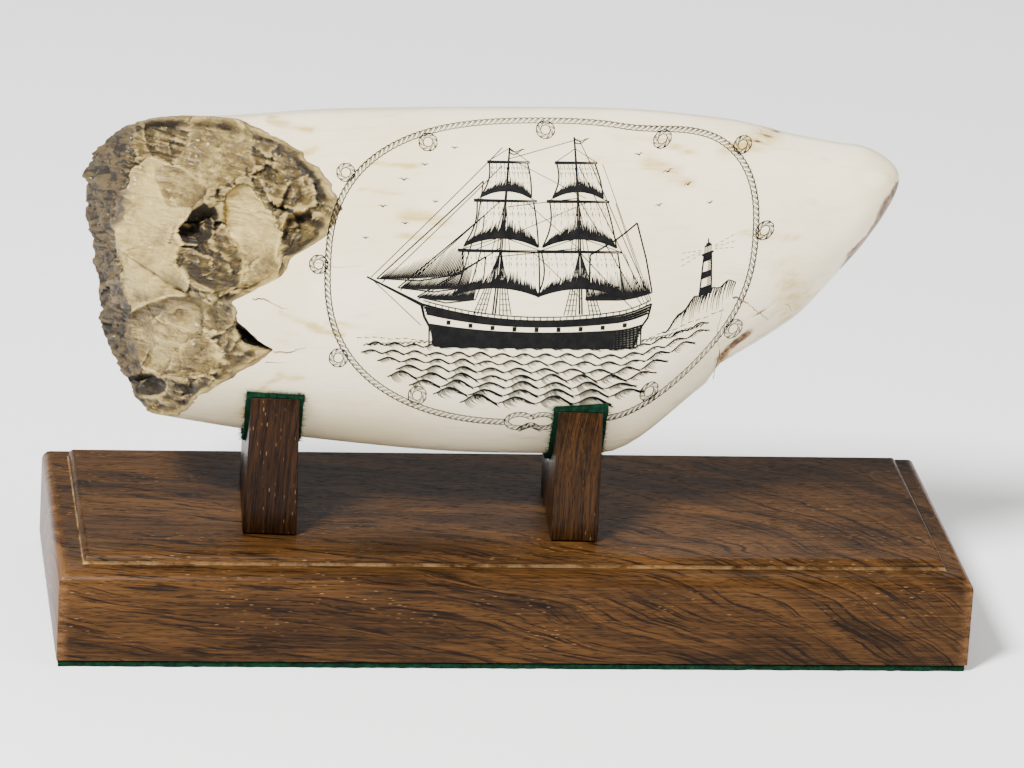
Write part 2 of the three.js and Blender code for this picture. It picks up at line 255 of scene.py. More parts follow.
def soft_noise(points, size, seed):
    """Smooth noise from -1 to 1 with blobs of about the given size."""
    p = points / size
    cell = np.floor(p)
    t = p - cell
    t = t * t * t * (t * (6 * t - 15) + 10)
    total = np.zeros(len(points))
    for corner in range(8):
        step = np.array([corner & 1, (corner >> 1) & 1, corner >> 2])
        weight = np.prod(np.where(step, t, 1 - t), axis=1)
        total += weight * scramble(cell + step, seed)
    return 2 * total - 1


def layered_noise(points, size, seed, layers=4, fall=0.5):
    total, strength, whole = np.zeros(len(points)), 1.0, 0.0
    for layer in range(layers):
        total += strength * soft_noise(points, size / 2 ** layer, seed + layer)
        whole += strength
        strength *= fall
    return total / whole


def cell_noise(points, size, seed):
    """Distance to the nearest of scattered seeds, in cells."""
    p = points / size
    cell = np.floor(p)
    nearest = np.full(len(points), 9.0)
    for step in itertools.product((-1, 0, 1), repeat=3):
        near = cell + np.array(step)
        spot = np.stack([scramble(near, seed + axis) for axis in (0, 31, 67)], -1)
        nearest = np.minimum(nearest, np.linalg.norm(near + spot - p, axis=1))
    return nearest


def facet_noise(points, size, seed, slope):
    """Broken facets: each patch of about the given size is a plane with its own tilt."""
    p = points / size
    cell = np.floor(p)
    nearest = np.full(len(points), 9.0)
    height = np.zeros(len(points))
    for dx, dy in itertools.product((-1, 0, 1), repeat=2):
        near = cell + np.array((dx, dy, 0))
        near[:, 2] = 0
        spot = np.stack([scramble(near, seed + axis) for axis in (0, 31)], -1)
        tilt = np.stack([scramble(near, seed + axis) for axis in (5, 47)], -1) - 0.5
        offset = p[:, :2] - near[:, :2] - spot
        away = np.linalg.norm(offset, axis=1)
        plane = (offset * tilt).sum(1) * 2 * slope * size
        plane += (scramble(near, seed + 9) - 0.5) * slope
        height = np.where(away < nearest, plane, height)
        nearest = np.minimum(nearest, away)
    return height


# Form of the tooth

def board_top():
    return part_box("base_board")[1].z / MM


def tooth_section(share):
    """Middle x, middle height, half height and half thickness at shares of the length."""
    top = TOOTH_HEIGHT * smooth_line(TOP_LINE, share)
    bottom = TOOTH_HEIGHT * smooth_line(BOTTOM_LINE, share)
    past_nose = np.clip((share - (1 - NOSE_SHARE)) / NOSE_SHARE, 0, 1)
    closing = np.sqrt(1 - past_nose ** 2)
    x = TOOTH_MIDDLE_X + TOOTH_LENGTH * (share - 0.5)
    middle = board_top() + TOOTH_OVER_BASE + (top + bottom) / 2
    thickness = TOOTH_THICKNESS * smooth_line(THICKNESS_LINE, share)
    return x, middle, closing * (top - bottom) / 2, closing * thickness / 2


def share_at(x):
    return (x - TOOTH_MIDDLE_X) / TOOTH_LENGTH + 0.5


def chip_bite(share, degrees):
    entry = np.clip((share - CHIP["start"]) / CHIP["entry"], 0, 1)
    exit_length = CHIP["end"] - CHIP["start"] - CHIP["entry"]
    leaving = np.clip((CHIP["end"] - share) / exit_length, 0, 1)
    across = np.clip(1 - ((degrees - 270) / CHIP["spread"]) ** 2, 0, 1)
    return CHIP["depth"] * np.minimum(entry, leaving) * across


def tooth_points(share, degrees):
    x, middle, half_height, half_thickness = tooth_section(share)
    angle = np.radians(degrees)
    y = half_thickness * np.cos(angle)
    z = middle + half_height * np.sin(angle) + chip_bite(share, degrees)
    return np.stack(np.broadcast_arrays(x, y, z), -1)


def surface_swell(points):
    """Soft unevenness of the sound ivory, across the tooth."""
    return soft_noise(points, SWELL_SIZE, 131) * SWELL_HEIGHT * np.clip(points[:, 1] / 6, -1, 1)


def turned(points):
    """From the tooth's own frame to the frame of the whole part."""
    c, s = math.cos(STAND_TURN), math.sin(STAND_TURN)
    x, y, z = np.moveaxis(points, -1, 0)
    return np.stack([c * x - s * y, s * x + c * y, z], -1)


def unturned(vector):
    c, s = math.cos(STAND_TURN), math.sin(STAND_TURN)
    return np.array((c * vector[0] + s * vector[1], -s * vector[0] + c * vector[1], vector[2]))


def seen_from_front(points):
    """Across and up, in millimetres from the middle of the picture, as the camera sees it."""
    offset = turned(points) - np.array(CAMERA_PLACE)
    distance = offset @ VIEW_AHEAD
    return (offset @ VIEW_RIGHT / distance * PICTURE_DISTANCE,
            offset @ VIEW_UP / distance * PICTURE_DISTANCE)


# Flake scars of the broken face: middle and radii as seen from the front, turn in degrees,
# depth, tilt (how much deeper the far side is per millimetre across and up), darkness and polish.
# The darkness is dirt, and for the deepest pits (values above 1) it is also painted shade
SCARS = (
    ((-79.5, 55.5), (8.5, 5), -8, 1.9, (0.1, 0.05), 0.62, 0.35),
    ((-67, 53), (9.5, 9.5), 22, 2.9, (0.09, 0.04), 0.42, 0.72),
    ((-75.5, 45), (7, 5), -12, 2.1, (0.1, 0), 0.45, 0.7),
    ((-81, 37), (8.5, 14.5), -12, 0.9, (0.03, 0), 0.16, 0.9),
    ((-81.5, 22), (8, 7), 6, 1.3, (0.05, 0.05), 0.2, 0.9),
    ((-70.5, 35.5), (5.6, 4.4), 30, 6.6, (0, 0), 1.15, 0.1),
    ((-67, 28), (8.6, 8), -15, 5.0, (-0.08, 0), 0.72, 0.55),
    ((-57.5, 31), (6, 13), 18, 3.0, (-0.14, 0), 0.14, 0.9),
    ((-55.5, 23.5), (4.5, 6), 0, 2.6, (-0.1, 0), 0.14, 0.9),
    ((-56.5, 52.5), (7, 4), -25, 2.2, (0, 0), 0.7, 0.25),
    ((-47.5, 45), (11.5, 6.5), -24, 3.4, (0, 0.1), 0.6, 0.45),
    ((-41.5, 39.5), (5, 4.5), 0, 1.6, (0, 0), 0.55, 0.4),
    ((-46.5, 32), (6.5, 7), -30, 4.6, (0.12, 0), 0.62, 0.4),
    ((-73.5, 9.5), (14.5, 9), -6, 4.4, (0, 0.12), 0.42, 0.8),
    ((-63, 8), (8, 6), -18, 3.2, (0, 0.05), 0.6, 0.45),
    ((-67, -1.5), (12, 4), 12, 1.9, (0, 0), 0.6, 0.2),
    ((-57.2, 10.8), (5.8, 2.4), -42, 8.0, (0, 0), 1.4, 0.1),
    ((-81.5, -0.7), (4.4, 2.8), -10, 7.0, (0, 0), 1.4, 0.1),
)


def scar_field(across, up, warp):
    """Depth, darkness (dirt, and painted shade in the deepest pits) and polish of the deepest flake
    scar at each point.
    """
    depth = np.zeros(len(across))
    dirt_and_pit_shade = np.full(len(across), 0.55)
    smooth = np.zeros(len(across))
    for (x, y), (wide, high), degrees, deepest, (tilt_x, tilt_y), soil_and_shade, polish in SCARS:
        turn = math.radians(degrees)
        dx, dy = across - x + warp[0], up - y + warp[1]
        u = (dx * math.cos(turn) + dy * math.sin(turn)) / wide
        v = (-dx * math.sin(turn) + dy * math.cos(turn)) / high
        away = u * u + v * v
        bowl = deepest * (1 - 0.45 * away - 0.55 * away ** 3)
        bowl += (tilt_x * dx + tilt_y * dy) * (bowl > 0)
        deeper = bowl > depth
        depth = np.where(deeper, bowl, depth)
        dirt_and_pit_shade = np.where(deeper, soil_and_shade, dirt_and_pit_shade)
        smooth = np.where(deeper, polish, smooth)
    return depth, dirt_and_pit_shade, smooth


# Worn brown edges and yellow stains of the ivory: a line as seen from the front, and a reach
WORN_EDGES = (
    (((86.6, 44.5), (80.9, 34.3), (73.6, 25.6)), 1.6),
    (((59.3, 56.6), (54.9, 54.3)), 0.3),
    (((44.8, 0.0), (46.2, 4.8), (49.5, 9.0), (53.0, 11.2)), 1.0),
    (((54.5, 16.6), (57.5, 14.4)), 0.4),
)
STAINS = (
    (((62.0, 22.0), (64.5, 16.5)), 6.0),
    (((47.0, 52.0), (57.0, 55.0)), 3.0),
    (((-54.2, 59.1), (-49, 57.9), (-45.2, 56.9)), 1.5),
    (((-55.7, -0.7), (-51.5, 2.0), (-47.5, 1.3)), 1.3),
    (((-52.0, 16.0), (-44.0, 12.5), (-38.0, 11.0)), 1.2),
    (((-60.0, -6.0), (-48.0, -7.5)), 2.0),
    (((30.0, 50.0), (40.0, 45.0)), 2.2),
    (((-25.0, 38.0), (-14.0, 36.5)), 2.0),
    (((-30.5, 49.5), (-24.0, 48.6), (-21.0, 49.2)), 0.9),
    (((-34.0, 43.5), (-27.0, 42.6)), 1.1),
    (((-26.0, 33.5), (-19.0, 32.8)), 0.8),
    (((33.0, 54.6), (40.5, 51.6)), 1.0),
    (((-41.0, 13.5), (-33.0, 12.6)), 0.9),
    (((-56.0, 46.5), (-44.0, 53.0)), 1.3),
    (((52.0, 34.0), (63.0, 32.6)), 0.9),
)
HAIRLINES = (
    (((-58.2, 19.2), (-55.0, 18.9), (-52.6, 17.4), (-50.2, 16.8)), 0.2),
    (((-53.5, 7.2), (-50.0, 7.0), (-46.3, 8.3)), 0.26),
    (((-55.3, 4.9), (-50.4, 4.9)), 0.13),
    (((49.5, 19.5), (51.8, 18.6), (54.4, 16.6), (57.5, 14.3)), 0.3),
    (((59.3, 56.4), (57.0, 55.8), (54.9, 54.2)), 0.2),
    (((44.9, 1.0), (46.6, 6.5), (45.8, 12.0), (47.4, 17.5)), 0.13),
    (((61.3, 18.0), (62.8, 16.2)), 0.12),
    (((-45.0, 27.5), (-39.5, 26.0), (-33.0, 26.6)), 0.08),
)


def line_field(spots, marks, ragged, fade):
    """From 0 to 1, how much each spot is marked by the nearest of the lines."""
    field = np.zeros(len(spots))
    for line, reach in marks:
        away = line_distance(spots, line) / reach + ragged
        field = np.maximum(field, 1 - smoothstep(0, fade, away))
    return field


def line_distance(spots, line):
    """Distance from each spot to a line of points, as seen from the front."""
    nearest = np.full(len(spots), 1e9)
    for a, b in zip(line[:-1], line[1:]):
        a, b = np.array(a, float), np.array(b, float)
        offset = spots[:, :2] - a
        t = np.clip(offset @ (b - a) / ((b - a) @ (b - a)), 0, 1)
        nearest = np.minimum(nearest, np.linalg.norm(offset - t[:, None] * (b - a), axis=1))
    return nearest


def uv_sphere(name, sides, rings):
    """A UV sphere from the primitive operator, with the ring and side of each point."""
    bpy.ops.object.select_all(action="DESELECT")
    bpy.ops.mesh.primitive_uv_sphere_add(segments=sides, ring_count=rings, radius=1)
    piece = bpy.context.object
    piece.name = piece.data.name = name
    co = np.empty(len(piece.data.vertices) * 3)
    piece.data.vertices.foreach_get("co", co)
    co = co.reshape(-1, 3)
    ring = np.rint(np.arccos(np.clip(co[:, 2], -1, 1)) / math.pi * rings).astype(int)
    side = np.rint(-np.arctan2(co[:, 1], co[:, 0]) / (2 * math.pi) * sides).astype(int) % sides
    return piece, ring, side


def set_points(piece, points):
    piece.data.vertices.foreach_set("co", (points * MM).ravel())
    piece.data.update()


def paint(piece, name, values):
    """Stores one number per point, for the material to read."""
    layer = piece.data.attributes.new(name, "FLOAT", "POINT")
    layer.data.foreach_set("value", np.asarray(values, np.float32))


def shade_smooth(piece, degrees):
    pick(piece)
    bpy.ops.object.shade_smooth_by_angle(angle=math.radians(degrees))


def blurred(field, times):
    """A ring-by-side field, averaged with its neighbours."""
    for _ in range(times):
        around = (np.roll(field, 1, 1) + np.roll(field, -1, 1)) / 2
        along = field.copy()
        along[1:-1] = (field[2:] + field[:-2]) / 2
        field = (field + around + along) / 3
    return field


def model_tooth(settings):
    total_rings = BREAK_RINGS + NEAR_RINGS + FAR_RINGS
    degrees = np.arange(TOOTH_SIDES) * 360 / TOOTH_SIDES
    unit_round = np.stack([np.cos(np.radians(degrees)), np.sin(np.radians(degrees))], -1)
    jag_at = np.column_stack([unit_round * 30, np.zeros(TOOTH_SIDES)])
    jag = layered_noise(jag_at, 4.5, 11, 4, 0.65) * 1.5 + layered_noise(jag_at, 1.2, 19, 2) * 0.5
    edge_share = np.maximum(broken_line(BREAK_EDGE, degrees) + jag / TOOTH_LENGTH, 0)
    points = np.zeros((total_rings + 1, TOOTH_SIDES, 3))
    # Broken face, from its heart to its edge
    edge = tooth_points(edge_share, degrees)
    heart_x, _, _, heart_thick = tooth_section(np.array([BREAK_HEART[0]]))
    heart = np.array((heart_x[0], heart_thick[0] * BREAK_HEART[2],
                      board_top() + TOOTH_OVER_BASE + TOOTH_HEIGHT * BREAK_HEART[1]))
    way = (np.arange(BREAK_RINGS + 1) / BREAK_RINGS) ** 0.85
    plain_edge = tooth_points(broken_line(BREAK_EDGE, degrees), degrees)
    points[:BREAK_RINGS + 1] = mix(heart, plain_edge[None], way[:, None, None])
    near_rim = smoothstep(0.86, 1, way)[:, None, None]
    points[:BREAK_RINGS + 1] += (edge - plain_edge)[None] * near_rim
    # Sound surface, from the edge of the break to the tip
    for ring in range(1, NEAR_RINGS + 1):
        share = mix(edge_share, NEAR_END, (ring / NEAR_RINGS) ** 1.6)
        points[BREAK_RINGS + ring] = tooth_points(share, degrees)
    for ring in range(1, FAR_RINGS + 1):
        share = mix(NEAR_END, 1, math.sin(math.pi / 2 * ring / FAR_RINGS))
        points[BREAK_RINGS + NEAR_RINGS + ring] = tooth_points(share, degrees)
    relief = carve_break(points, way, degrees, settings.rim_step / MM)
    piece, ring, side = uv_sphere("whale_tooth", TOOTH_SIDES, total_rings)
    set_points(piece, turned(points[ring, side]))
    for name, field in relief.items():
        paint(piece, name, field[ring, side])
    shade_smooth(piece, 180)
    return piece


def carve_break(points, way, degrees, rim_step):
    """Presses the flake scars, splinters, crust and chips into the points, and returns
    the fields that the ivory's material reads."""
    cap = points[:BREAK_RINGS + 1].reshape(-1, 3).copy()
    across, up = seen_from_front(cap)
    flat = np.column_stack([across, up, np.zeros(len(across))])
    warp = [layered_noise(flat, 9, seed, 3) * FLAKE_WARP for seed in (41, 47)]
    depth, dirt_and_pit_shade, smooth = scar_field(across, up, warp)
    # Growth layers show as fine steps that run along the tooth, a little downwards
    along = across * math.cos(GRAIN_SLOPE) + up * math.sin(GRAIN_SLOPE)
    down = -across * math.sin(GRAIN_SLOPE) + up * math.cos(GRAIN_SLOPE)
    grain_at = np.column_stack([along / GRAIN_STRETCH, down, np.zeros(len(along))])
    grain = layered_noise(grain_at, GRAIN_SIZE, 61, 4, 0.6)
    bent = flat + np.column_stack([*warp, 0 * across])
    facets = sum(facet_noise(bent, *facet) for facet in FACET_SIZES)
    saw = (down / GROWTH_LAYER + grain * 0.8 + layered_noise(flat, 14, 59, 2) * 2) % 1
    rough = layered_noise(cap, 3.0, 83, 5, 0.6)
    raw = 1 - smooth
    depth = depth + grain * mix(0.25, 0.8, raw) + rough * mix(0.12, 0.9, raw)
    depth = depth + facets * mix(0.12, 0.9, raw) + saw * mix(0.12, 0.75, raw)
    # The crusty outer band at the end of the root
    way_field = np.repeat(way, TOOTH_SIDES)
    around = np.tile(degrees, BREAK_RINGS + 1)
    behind = np.maximum(smoothstep(*CRUST_FROM, around), smoothstep(*CRUST_TO, around))
    crusted = behind * smoothstep(0.1, 0.42, way_field)
    lumps = cell_noise(cap + rough[:, None] * 1.5, LUMP_SIZE, 97)
    pits = cell_noise(cap + rough[:, None], PIT_SIZE, 103)
    crust = (0.5 - lumps) * LUMP_HEIGHT - np.clip(0.5 - pits, 0, 1) * PIT_DEPTH
    crust += rough * CRUST_ROUGHNESS
    lip_wide = mix(0.04, 0.09, layered_noise(flat, 6, 113, 2) * 0.5 + 0.5)
    inside = 1 - smoothstep(1 - lip_wide, 1, way_field)
    ahead = unturned(VIEW_AHEAD)
    step = rim_step * (1 - crusted)
    cap += ((depth + step) * inside * (1 - 0.75 * crusted))[:, None] * ahead
    cap[:, 0] -= crust * crusted * inside
    points[:BREAK_RINGS + 1] = cap.reshape(BREAK_RINGS + 1, -1, 3)
    points[0] = points[0].mean(0)
    # The sound surface: soft unevenness, worn edges and stains
    shell = points[BREAK_RINGS + 1:].reshape(-1, 3).copy()
    shell[:, 1] += surface_swell(shell)
    spot = np.column_stack([*seen_from_front(shell), np.zeros(len(shell))])
    ragged = layered_noise(shell, 5, 151, 4, 0.65)
    facing = shell[:, 1] < 4
    worn = line_field(spot, WORN_EDGES, ragged * 0.8, 1.1) * facing
    stain = line_field(spot, STAINS, ragged * 0.7, 1.0) * facing
    shell[:, 1] += worn * (0.25 + 0.35 * ragged)
    points[BREAK_RINGS + 1:] = shell.reshape(-1, TOOTH_SIDES, 3)
    # Fields for the material
    cap_shape = (BREAK_RINGS + 1, TOOTH_SIDES)
    pressed = ((depth + step) * inside).reshape(cap_shape)
    pitted = (-crust * crusted * inside).reshape(cap_shape)
    # How far each point lies below its neighbours; the material uses it to paint shade into the
    # recesses of the break and a highlight onto its raised edges
    hollow = pressed - blurred(pressed, 14) + 0.8 * (pitted - blurred(pitted, 14))
    on_cap = {"broken": np.ones(cap_shape), "dirt_and_pit_shade": dirt_and_pit_shade, "crust": crusted, "polish": smooth,
              "hollow": hollow}
    fields = {name: np.zeros(points.shape[:2]) for name in (*on_cap, "stain", "worn")}
    for name, field in on_cap.items():
        fields[name][:BREAK_RINGS + 1] = field.reshape(cap_shape)
    for name, field in (("stain", stain), ("worn", worn)):
        fields[name][BREAK_RINGS + 1:] = field.reshape(-1, TOOTH_SIDES)
    return fields


# Engraving, drawn in millimetres across and up from the middle of the picture

PICTURE_AT = (4.0, 1.8)
PICTURE_HALF = (47.0, 33.2)
SEA_LEVEL = -15.5
LIGHTHOUSE = 36.5
MASTS = (
    {"at": -10.5, "top": 27.0, "lean": 0.010},
    {"at": 9.5, "top": 29.5, "lean": -0.012},
)
# Sails on each mast: height of the yard and of the foot, half width at both
SAILS = (
    (23.5, 16.0, 4.2, 5.6),
    (15.0, 5.2, 6.2, 8.2),
    (4.0, -5.6, 8.4, 9.6),
)


def path_reach(path):
    """Distance along a path to each of its points."""
    return np.concatenate([[0], np.cumsum(np.linalg.norm(np.diff(path, axis=0), axis=1))])


def along_path(places, reach, path):
    """Points at given distances along a path."""
    return np.column_stack([np.interp(places, reach, path[:, k]) for k in (0, 1)])


class Drawing:
    """Collects engraved strokes as lines of points with a width."""

    def __init__(self, seed):
        self.strokes = []
        self.chance = np.random.default_rng(seed)

    def line(self, points, width=0.16, taper=0.35):
        self.strokes.append((np.asarray(points, float), width, taper))

    def dashes(self, points, width=0.1, dash=0.9, gap=0.6):
        """Breaks a line into short dashes."""
        points = np.asarray(points, float)
        reach = path_reach(points)
        start = 0.0
        while start < reach[-1] - 0.2:
            places = np.array((start, min(start + dash, reach[-1])))
            self.line(along_path(places, reach, points), width)
            start += dash + gap

    def rope(self, path, half=0.62, pitch=1.25, width=0.15):
        """Two twisted strands along a path: wavy edges with a slanted stroke at each turn."""
        path = np.asarray(path, float)
        reach = path_reach(path)
        turns = max(2, int(round(reach[-1] / pitch)))
        places = np.linspace(0, reach[-1], turns * 6 + 1)
        at = along_path(places, reach, path)
        along = np.gradient(at, axis=0)
        along /= np.linalg.norm(along, axis=1)[:, None]
        across = np.column_stack([-along[:, 1], along[:, 0]])
        swell = np.abs(np.sin(np.pi * np.arange(len(places)) / 6)) ** 0.6
        for side in (-1, 1):
            edge = at + across * (side * (half * (0.78 + 0.22 * swell)))[:, None]
            self.line(edge, width, 1)
        for turn in range(turns):
            mid = 6 * turn + 3
            back, ahead = at[mid] - along[mid] * pitch * 0.42, at[mid] + along[mid] * pitch * 0.42
            for shift in (-0.16, 0.16):
                slide = along[mid] * shift * pitch
                self.line([back - across[mid] * half * 0.8 + slide, at[mid] + slide,
                           ahead + across[mid] * half * 0.8 + slide], width)


def oval(turn, grow=0.0):
    """Point of the border at a turn in degrees: an oval that is fuller than an ellipse."""
    c, s = math.cos(math.radians(turn)), math.sin(math.radians(turn))
    fuller = 0.8
    return ((PICTURE_HALF[0] + grow) * math.copysign(abs(c) ** fuller, c),
            (PICTURE_HALF[1] + grow) * math.copysign(abs(s) ** fuller, s))


def draw_border(drawing):
    drawing.rope([oval(-85.8 + 351.6 * step / 150) for step in range(151)])
    for turn in range(-60, 300, 30):
        if turn == 270:
            continue
        centre = np.array(oval(turn, -2.1 if abs(math.sin(math.radians(turn))) > 0.8 else 2.0))
        circle = [centre + 1.55 * np.array((math.cos(a), math.sin(a)))
                  for a in np.linspace(0, 2 * math.pi, 20)]
        drawing.rope(circle, 0.5, 1.15, 0.13)
    foot = np.array(oval(-90))
    for side in (-1, 1):
        bow = [foot + np.array((side * (2.6 - 2.9 * math.cos(a)), 1.5 * math.sin(a) + 0.3))
               for a in np.linspace(0.5, 5.9, 24)]
        drawing.rope(bow, 0.5, 1.15, 0.13)
        tail = [foot + np.array((side * (0.4 + 0.55 * k), -0.4 - 0.32 * k)) for k in range(5)]
        drawing.rope(tail, 0.45, 1.1, 0.13)


def draw_sail(drawing, mast, sail):
    """A square sail: yard, curved sides, arched foot, seams and a dark hatched belly."""
    yard, foot, top_half, foot_half = sail
    chance = drawing.chance

    def at(p, q):
        half = mix(top_half, foot_half, q) - 0.05 * foot_half * math.sin(math.pi * q)
        lean = mast["lean"] * (mix(yard, foot, q) - SEA_LEVEL) * 6
        arch = 0.2 * (yard - foot) * (1 - p * p) * q ** 3
        belly = 0.9 * math.sin(math.pi * q) * 0.6
        return mast["at"] + lean + p * half + belly, mix(yard, foot, q) + arch

    steps = np.linspace(0, 1, 9)
    for side in (-1, 1):
        drawing.line([at(side, q) for q in steps], 0.2, 1)
    drawing.line([at(p, 1) for p in np.linspace(-1, 1, 15)], 0.22, 1)
    for lift, width in ((0.15, 0.3), (0.45, 0.22)):
        ends = [at(-1.12, 0), at(1.12, 0)]
        drawing.line([(ends[0][0], ends[0][1] + lift), (ends[1][0], ends[1][1] + lift)], width, 0.5)
    for p in np.linspace(-0.86, 0.86, 9):
        drawing.dashes([at(p, q) for q in steps[:6]], 0.09, 1.5, 0.5)
    for row in (0.14, 0.27):
        for p in np.linspace(-0.92, 0.92, 15):
            x, y = at(p, row)
            drawing.line([(x, y + 0.25), (x + 0.05, y - 0.35)], 0.11)
    count = int(foot_half * 2 / 0.18)
    for p in np.linspace(-0.97, 0.97, count):
        rise = (0.2 + 0.36 * (1 - abs(p) ** 1.6)) * chance.uniform(0.72, 1.12)
        sway = chance.uniform(-0.02, 0.02)
        drawing.line([at(p * mix(1, 0.93, k) + sway * k, 1 - rise * k) for k in (0, 0.35, 0.7, 1)],
                     0.24, 0.15)
    for level in np.linspace(0.02, 0.2, 9):
        reach = 0.95 - level * 1.2
        drawing.line([at(p, 1 - level) for p in np.linspace(-reach, reach, 11)], 0.17, 0.4)


def draw_rigging(drawing):
    deck = -9.4
    for mast in MASTS:
        def on_mast(height):
            return mast["at"] + mast["lean"] * (height - SEA_LEVEL) * 6, height
        for side in (-0.28, 0.28):
            base, peak = on_mast(deck), on_mast(mast["top"])
            drawing.line([(base[0] + side, base[1]), (peak[0] + side * 0.3, peak[1])], 0.22, 0.6)
        flag = on_mast(mast["top"])
        for drop, slant in ((0.3, -0.5), (1.1, 0.3)):
            drawing.line([(flag[0] + 3.4 * t, flag[1] - drop - 0.5 * math.sin(5 * t) + slant * t)
                          for t in np.linspace(0, 1, 7)], 0.2)
        for side in (-1, 1):
            hound = on_mast(4.5)
            feet = [mast["at"] + side * (1.6 + 0.85 * k) for k in range(4)]
            for foot in feet:
                drawing.line([(foot, deck - 0.2), hound], 0.13, 1)
            for rung in range(11):
                t = 0.06 + rung * 0.085
                drawing.line([(mix(feet[0], hound[0], t), mix(deck, hound[1], t)),
                              (mix(feet[-1], hound[0], t), mix(deck, hound[1], t))], 0.09, 1)
            cap = on_mast(15.5)
            for foot in (0.9, 1.9):
                drawing.line([(hound[0] + side * foot, hound[1]), cap], 0.11, 1)
        for yard, _, half, _ in SAILS:
            for side in (-1, 1):
                tip = (on_mast(yard)[0] + side * half * 1.1, yard + 0.3)
                drawing.line([tip, on_mast(yard + 3.4)], 0.1, 1)
    fore, main = MASTS
    fore_x = fore["at"] + 2.4
    for top, foot in ((27, (-37.5, -2.4)), (23, (-35, -3.4)), (15.5, (-31, -5)),
                      (5, (-27, -6.8))):
        drawing.line([(fore_x - 1.4, top), foot], 0.12, 1)
    for top, foot in ((29, (fore_x, 24.5)), (16, (fore_x, 14)), (5, (fore["at"], 3.0))):
        drawing.line([(main["at"] - 2.4, top), foot], 0.11, 1)
    for top, foot in ((29, (24.5, -7.2)), (23, (23.8, -7.4)), (16, (22.5, -7.8)),
                      (5, (20.5, -8.2))):
        drawing.line([(main["at"] - 2.2, top), foot], 0.12, 1)
    for start, end in (((-4, 15), (9, 4)), ((-16, 4), (9, 15)), ((-2, 4), (9, -6)),
                       ((18, 4), (23, -7.5)), ((15.6, 15), (24, -7.3)),
                       ((12.5, 23.6), (24.4, -7.2)), ((-6, 23.6), (9, 16))):
        drawing.line([start, end], 0.09, 1)


def draw_fore_and_aft(drawing):
    """Three headsails on the stays and a gaff sail behind the main mast."""
    chance = drawing.chance
    for peak, tack, clew in (((-13.6, 19.5), (-36.2, -2.6), (-17.5, -0.8)),
                             ((-13.2, 12.0), (-31.5, -4.4), (-15.6, -3.6)),
                             ((-12.6, 3.0), (-27.2, -6.2), (-14.4, -6.4))):
        peak, tack, clew = (np.array(corner) for corner in (peak, tack, clew))
        belly = (tack + clew) / 2 - np.array((0, 1.0))
        drawing.line([peak, mix(peak, tack, 0.5), tack], 0.18, 1)
        drawing.line([peak, mix(peak, clew, 0.5) + (0.7, 0), clew], 0.16, 1)
        drawing.line([tack, belly, clew], 0.18, 1)
        for t in np.linspace(0.04, 0.96, 42):
            foot = (1 - t) ** 2 * tack + 2 * t * (1 - t) * belly + t * t * clew
            rise = (0.12 + 0.24 * t) * chance.uniform(0.7, 1.1)
            drawing.line([foot, mix(foot, peak, rise * 0.5), mix(foot, peak, rise)], 0.2, 0.15)
    corners = ((10.4, 3.6), (20.5, 10.5), (24.6, -5.6), (10.0, -6.2))
    throat, peak, clew, tack = (np.array(corner) for corner in corners)
    for a, b in ((throat, peak), (peak, clew), (tack, clew), (throat, tack)):
        drawing.line([a, (a + b) / 2 + (0.3, -0.2), b], 0.22, 1)
    for t in np.linspace(0.03, 0.97, 46):
        foot, head = mix(tack, clew, t), mix(throat, peak, t)
        rise = (0.2 + 0.25 * math.sin(math.pi * t)) * chance.uniform(0.7, 1.1)
        drawing.line([foot, mix(foot, head, rise * 0.5), mix(foot, head, rise)], 0.22, 0.15)


def draw_hull(drawing):
    def deck(x):
        return -10.9 + 2.9 * (x / 25) ** 2

    rows = 15
    for row in range(rows + 1):
        q = row / rows
        if 4 <= row <= 6:
            continue
        left, right = mix(-26.2, -23.0, q ** 0.6), mix(24.6, 21.6, q)
        line = [(mix(left, right, t), mix(deck(mix(left, right, t)), SEA_LEVEL - 1.2, q))
                for t in np.linspace(0, 1, 16)]
        drawing.line(line, 0.36 if row else 0.3, 0.8)
    for t in np.linspace(0.02, 0.98, 60):
        x = mix(-25.2, 23.6, t)
        top, bottom = deck(x), SEA_LEVEL - 1.2
        drawing.line([(x, mix(top, bottom, 0.46)), (x + 0.2, mix(top, bottom, 0.98))], 0.24, 0.8)
    for port in range(9):
        x = mix(-20, 19, port / 8)
        y = mix(deck(x), SEA_LEVEL - 1.2, 0.33)
        for k in range(3):
            row = y - 0.25 + 0.25 * k
            drawing.line([(x - 0.45, row), (x + 0.45, row)], 0.28, 1)
    drawing.line([(-26.2, -7.8), (-25.4, -10.5), (-23.6, -13.5), (-22.8, SEA_LEVEL - 1)], 0.34, 1)
    drawing.line([(24.6, -8.0), (24.0, -11), (22.0, -13.5), (21.4, SEA_LEVEL - 1)], 0.3, 1)
    for lift in (0, 0.35, 0.7):
        drawing.line([(-25.6, -8.3 + lift * 0.6), (-38.4, -2.4 + lift * 0.3)], 0.24, 0.5)
    drawing.line([(-37, -3), (-26, -12.4)], 0.11, 1)
    for x in np.linspace(-24.5, 23.5, 34):
        drawing.line([(x, deck(x)), (x, deck(x) + 0.75)], 0.12, 1)
    drawing.line([(x, deck(x) + 0.85) for x in np.linspace(-25.8, 24.4, 16)], 0.16, 1)


def inside_border(x, y, room=1.8):
    wide, high = PICTURE_HALF[0] - room, PICTURE_HALF[1] - room
    return abs(x / wide) ** 2.5 + abs(y / high) ** 2.5 < 1


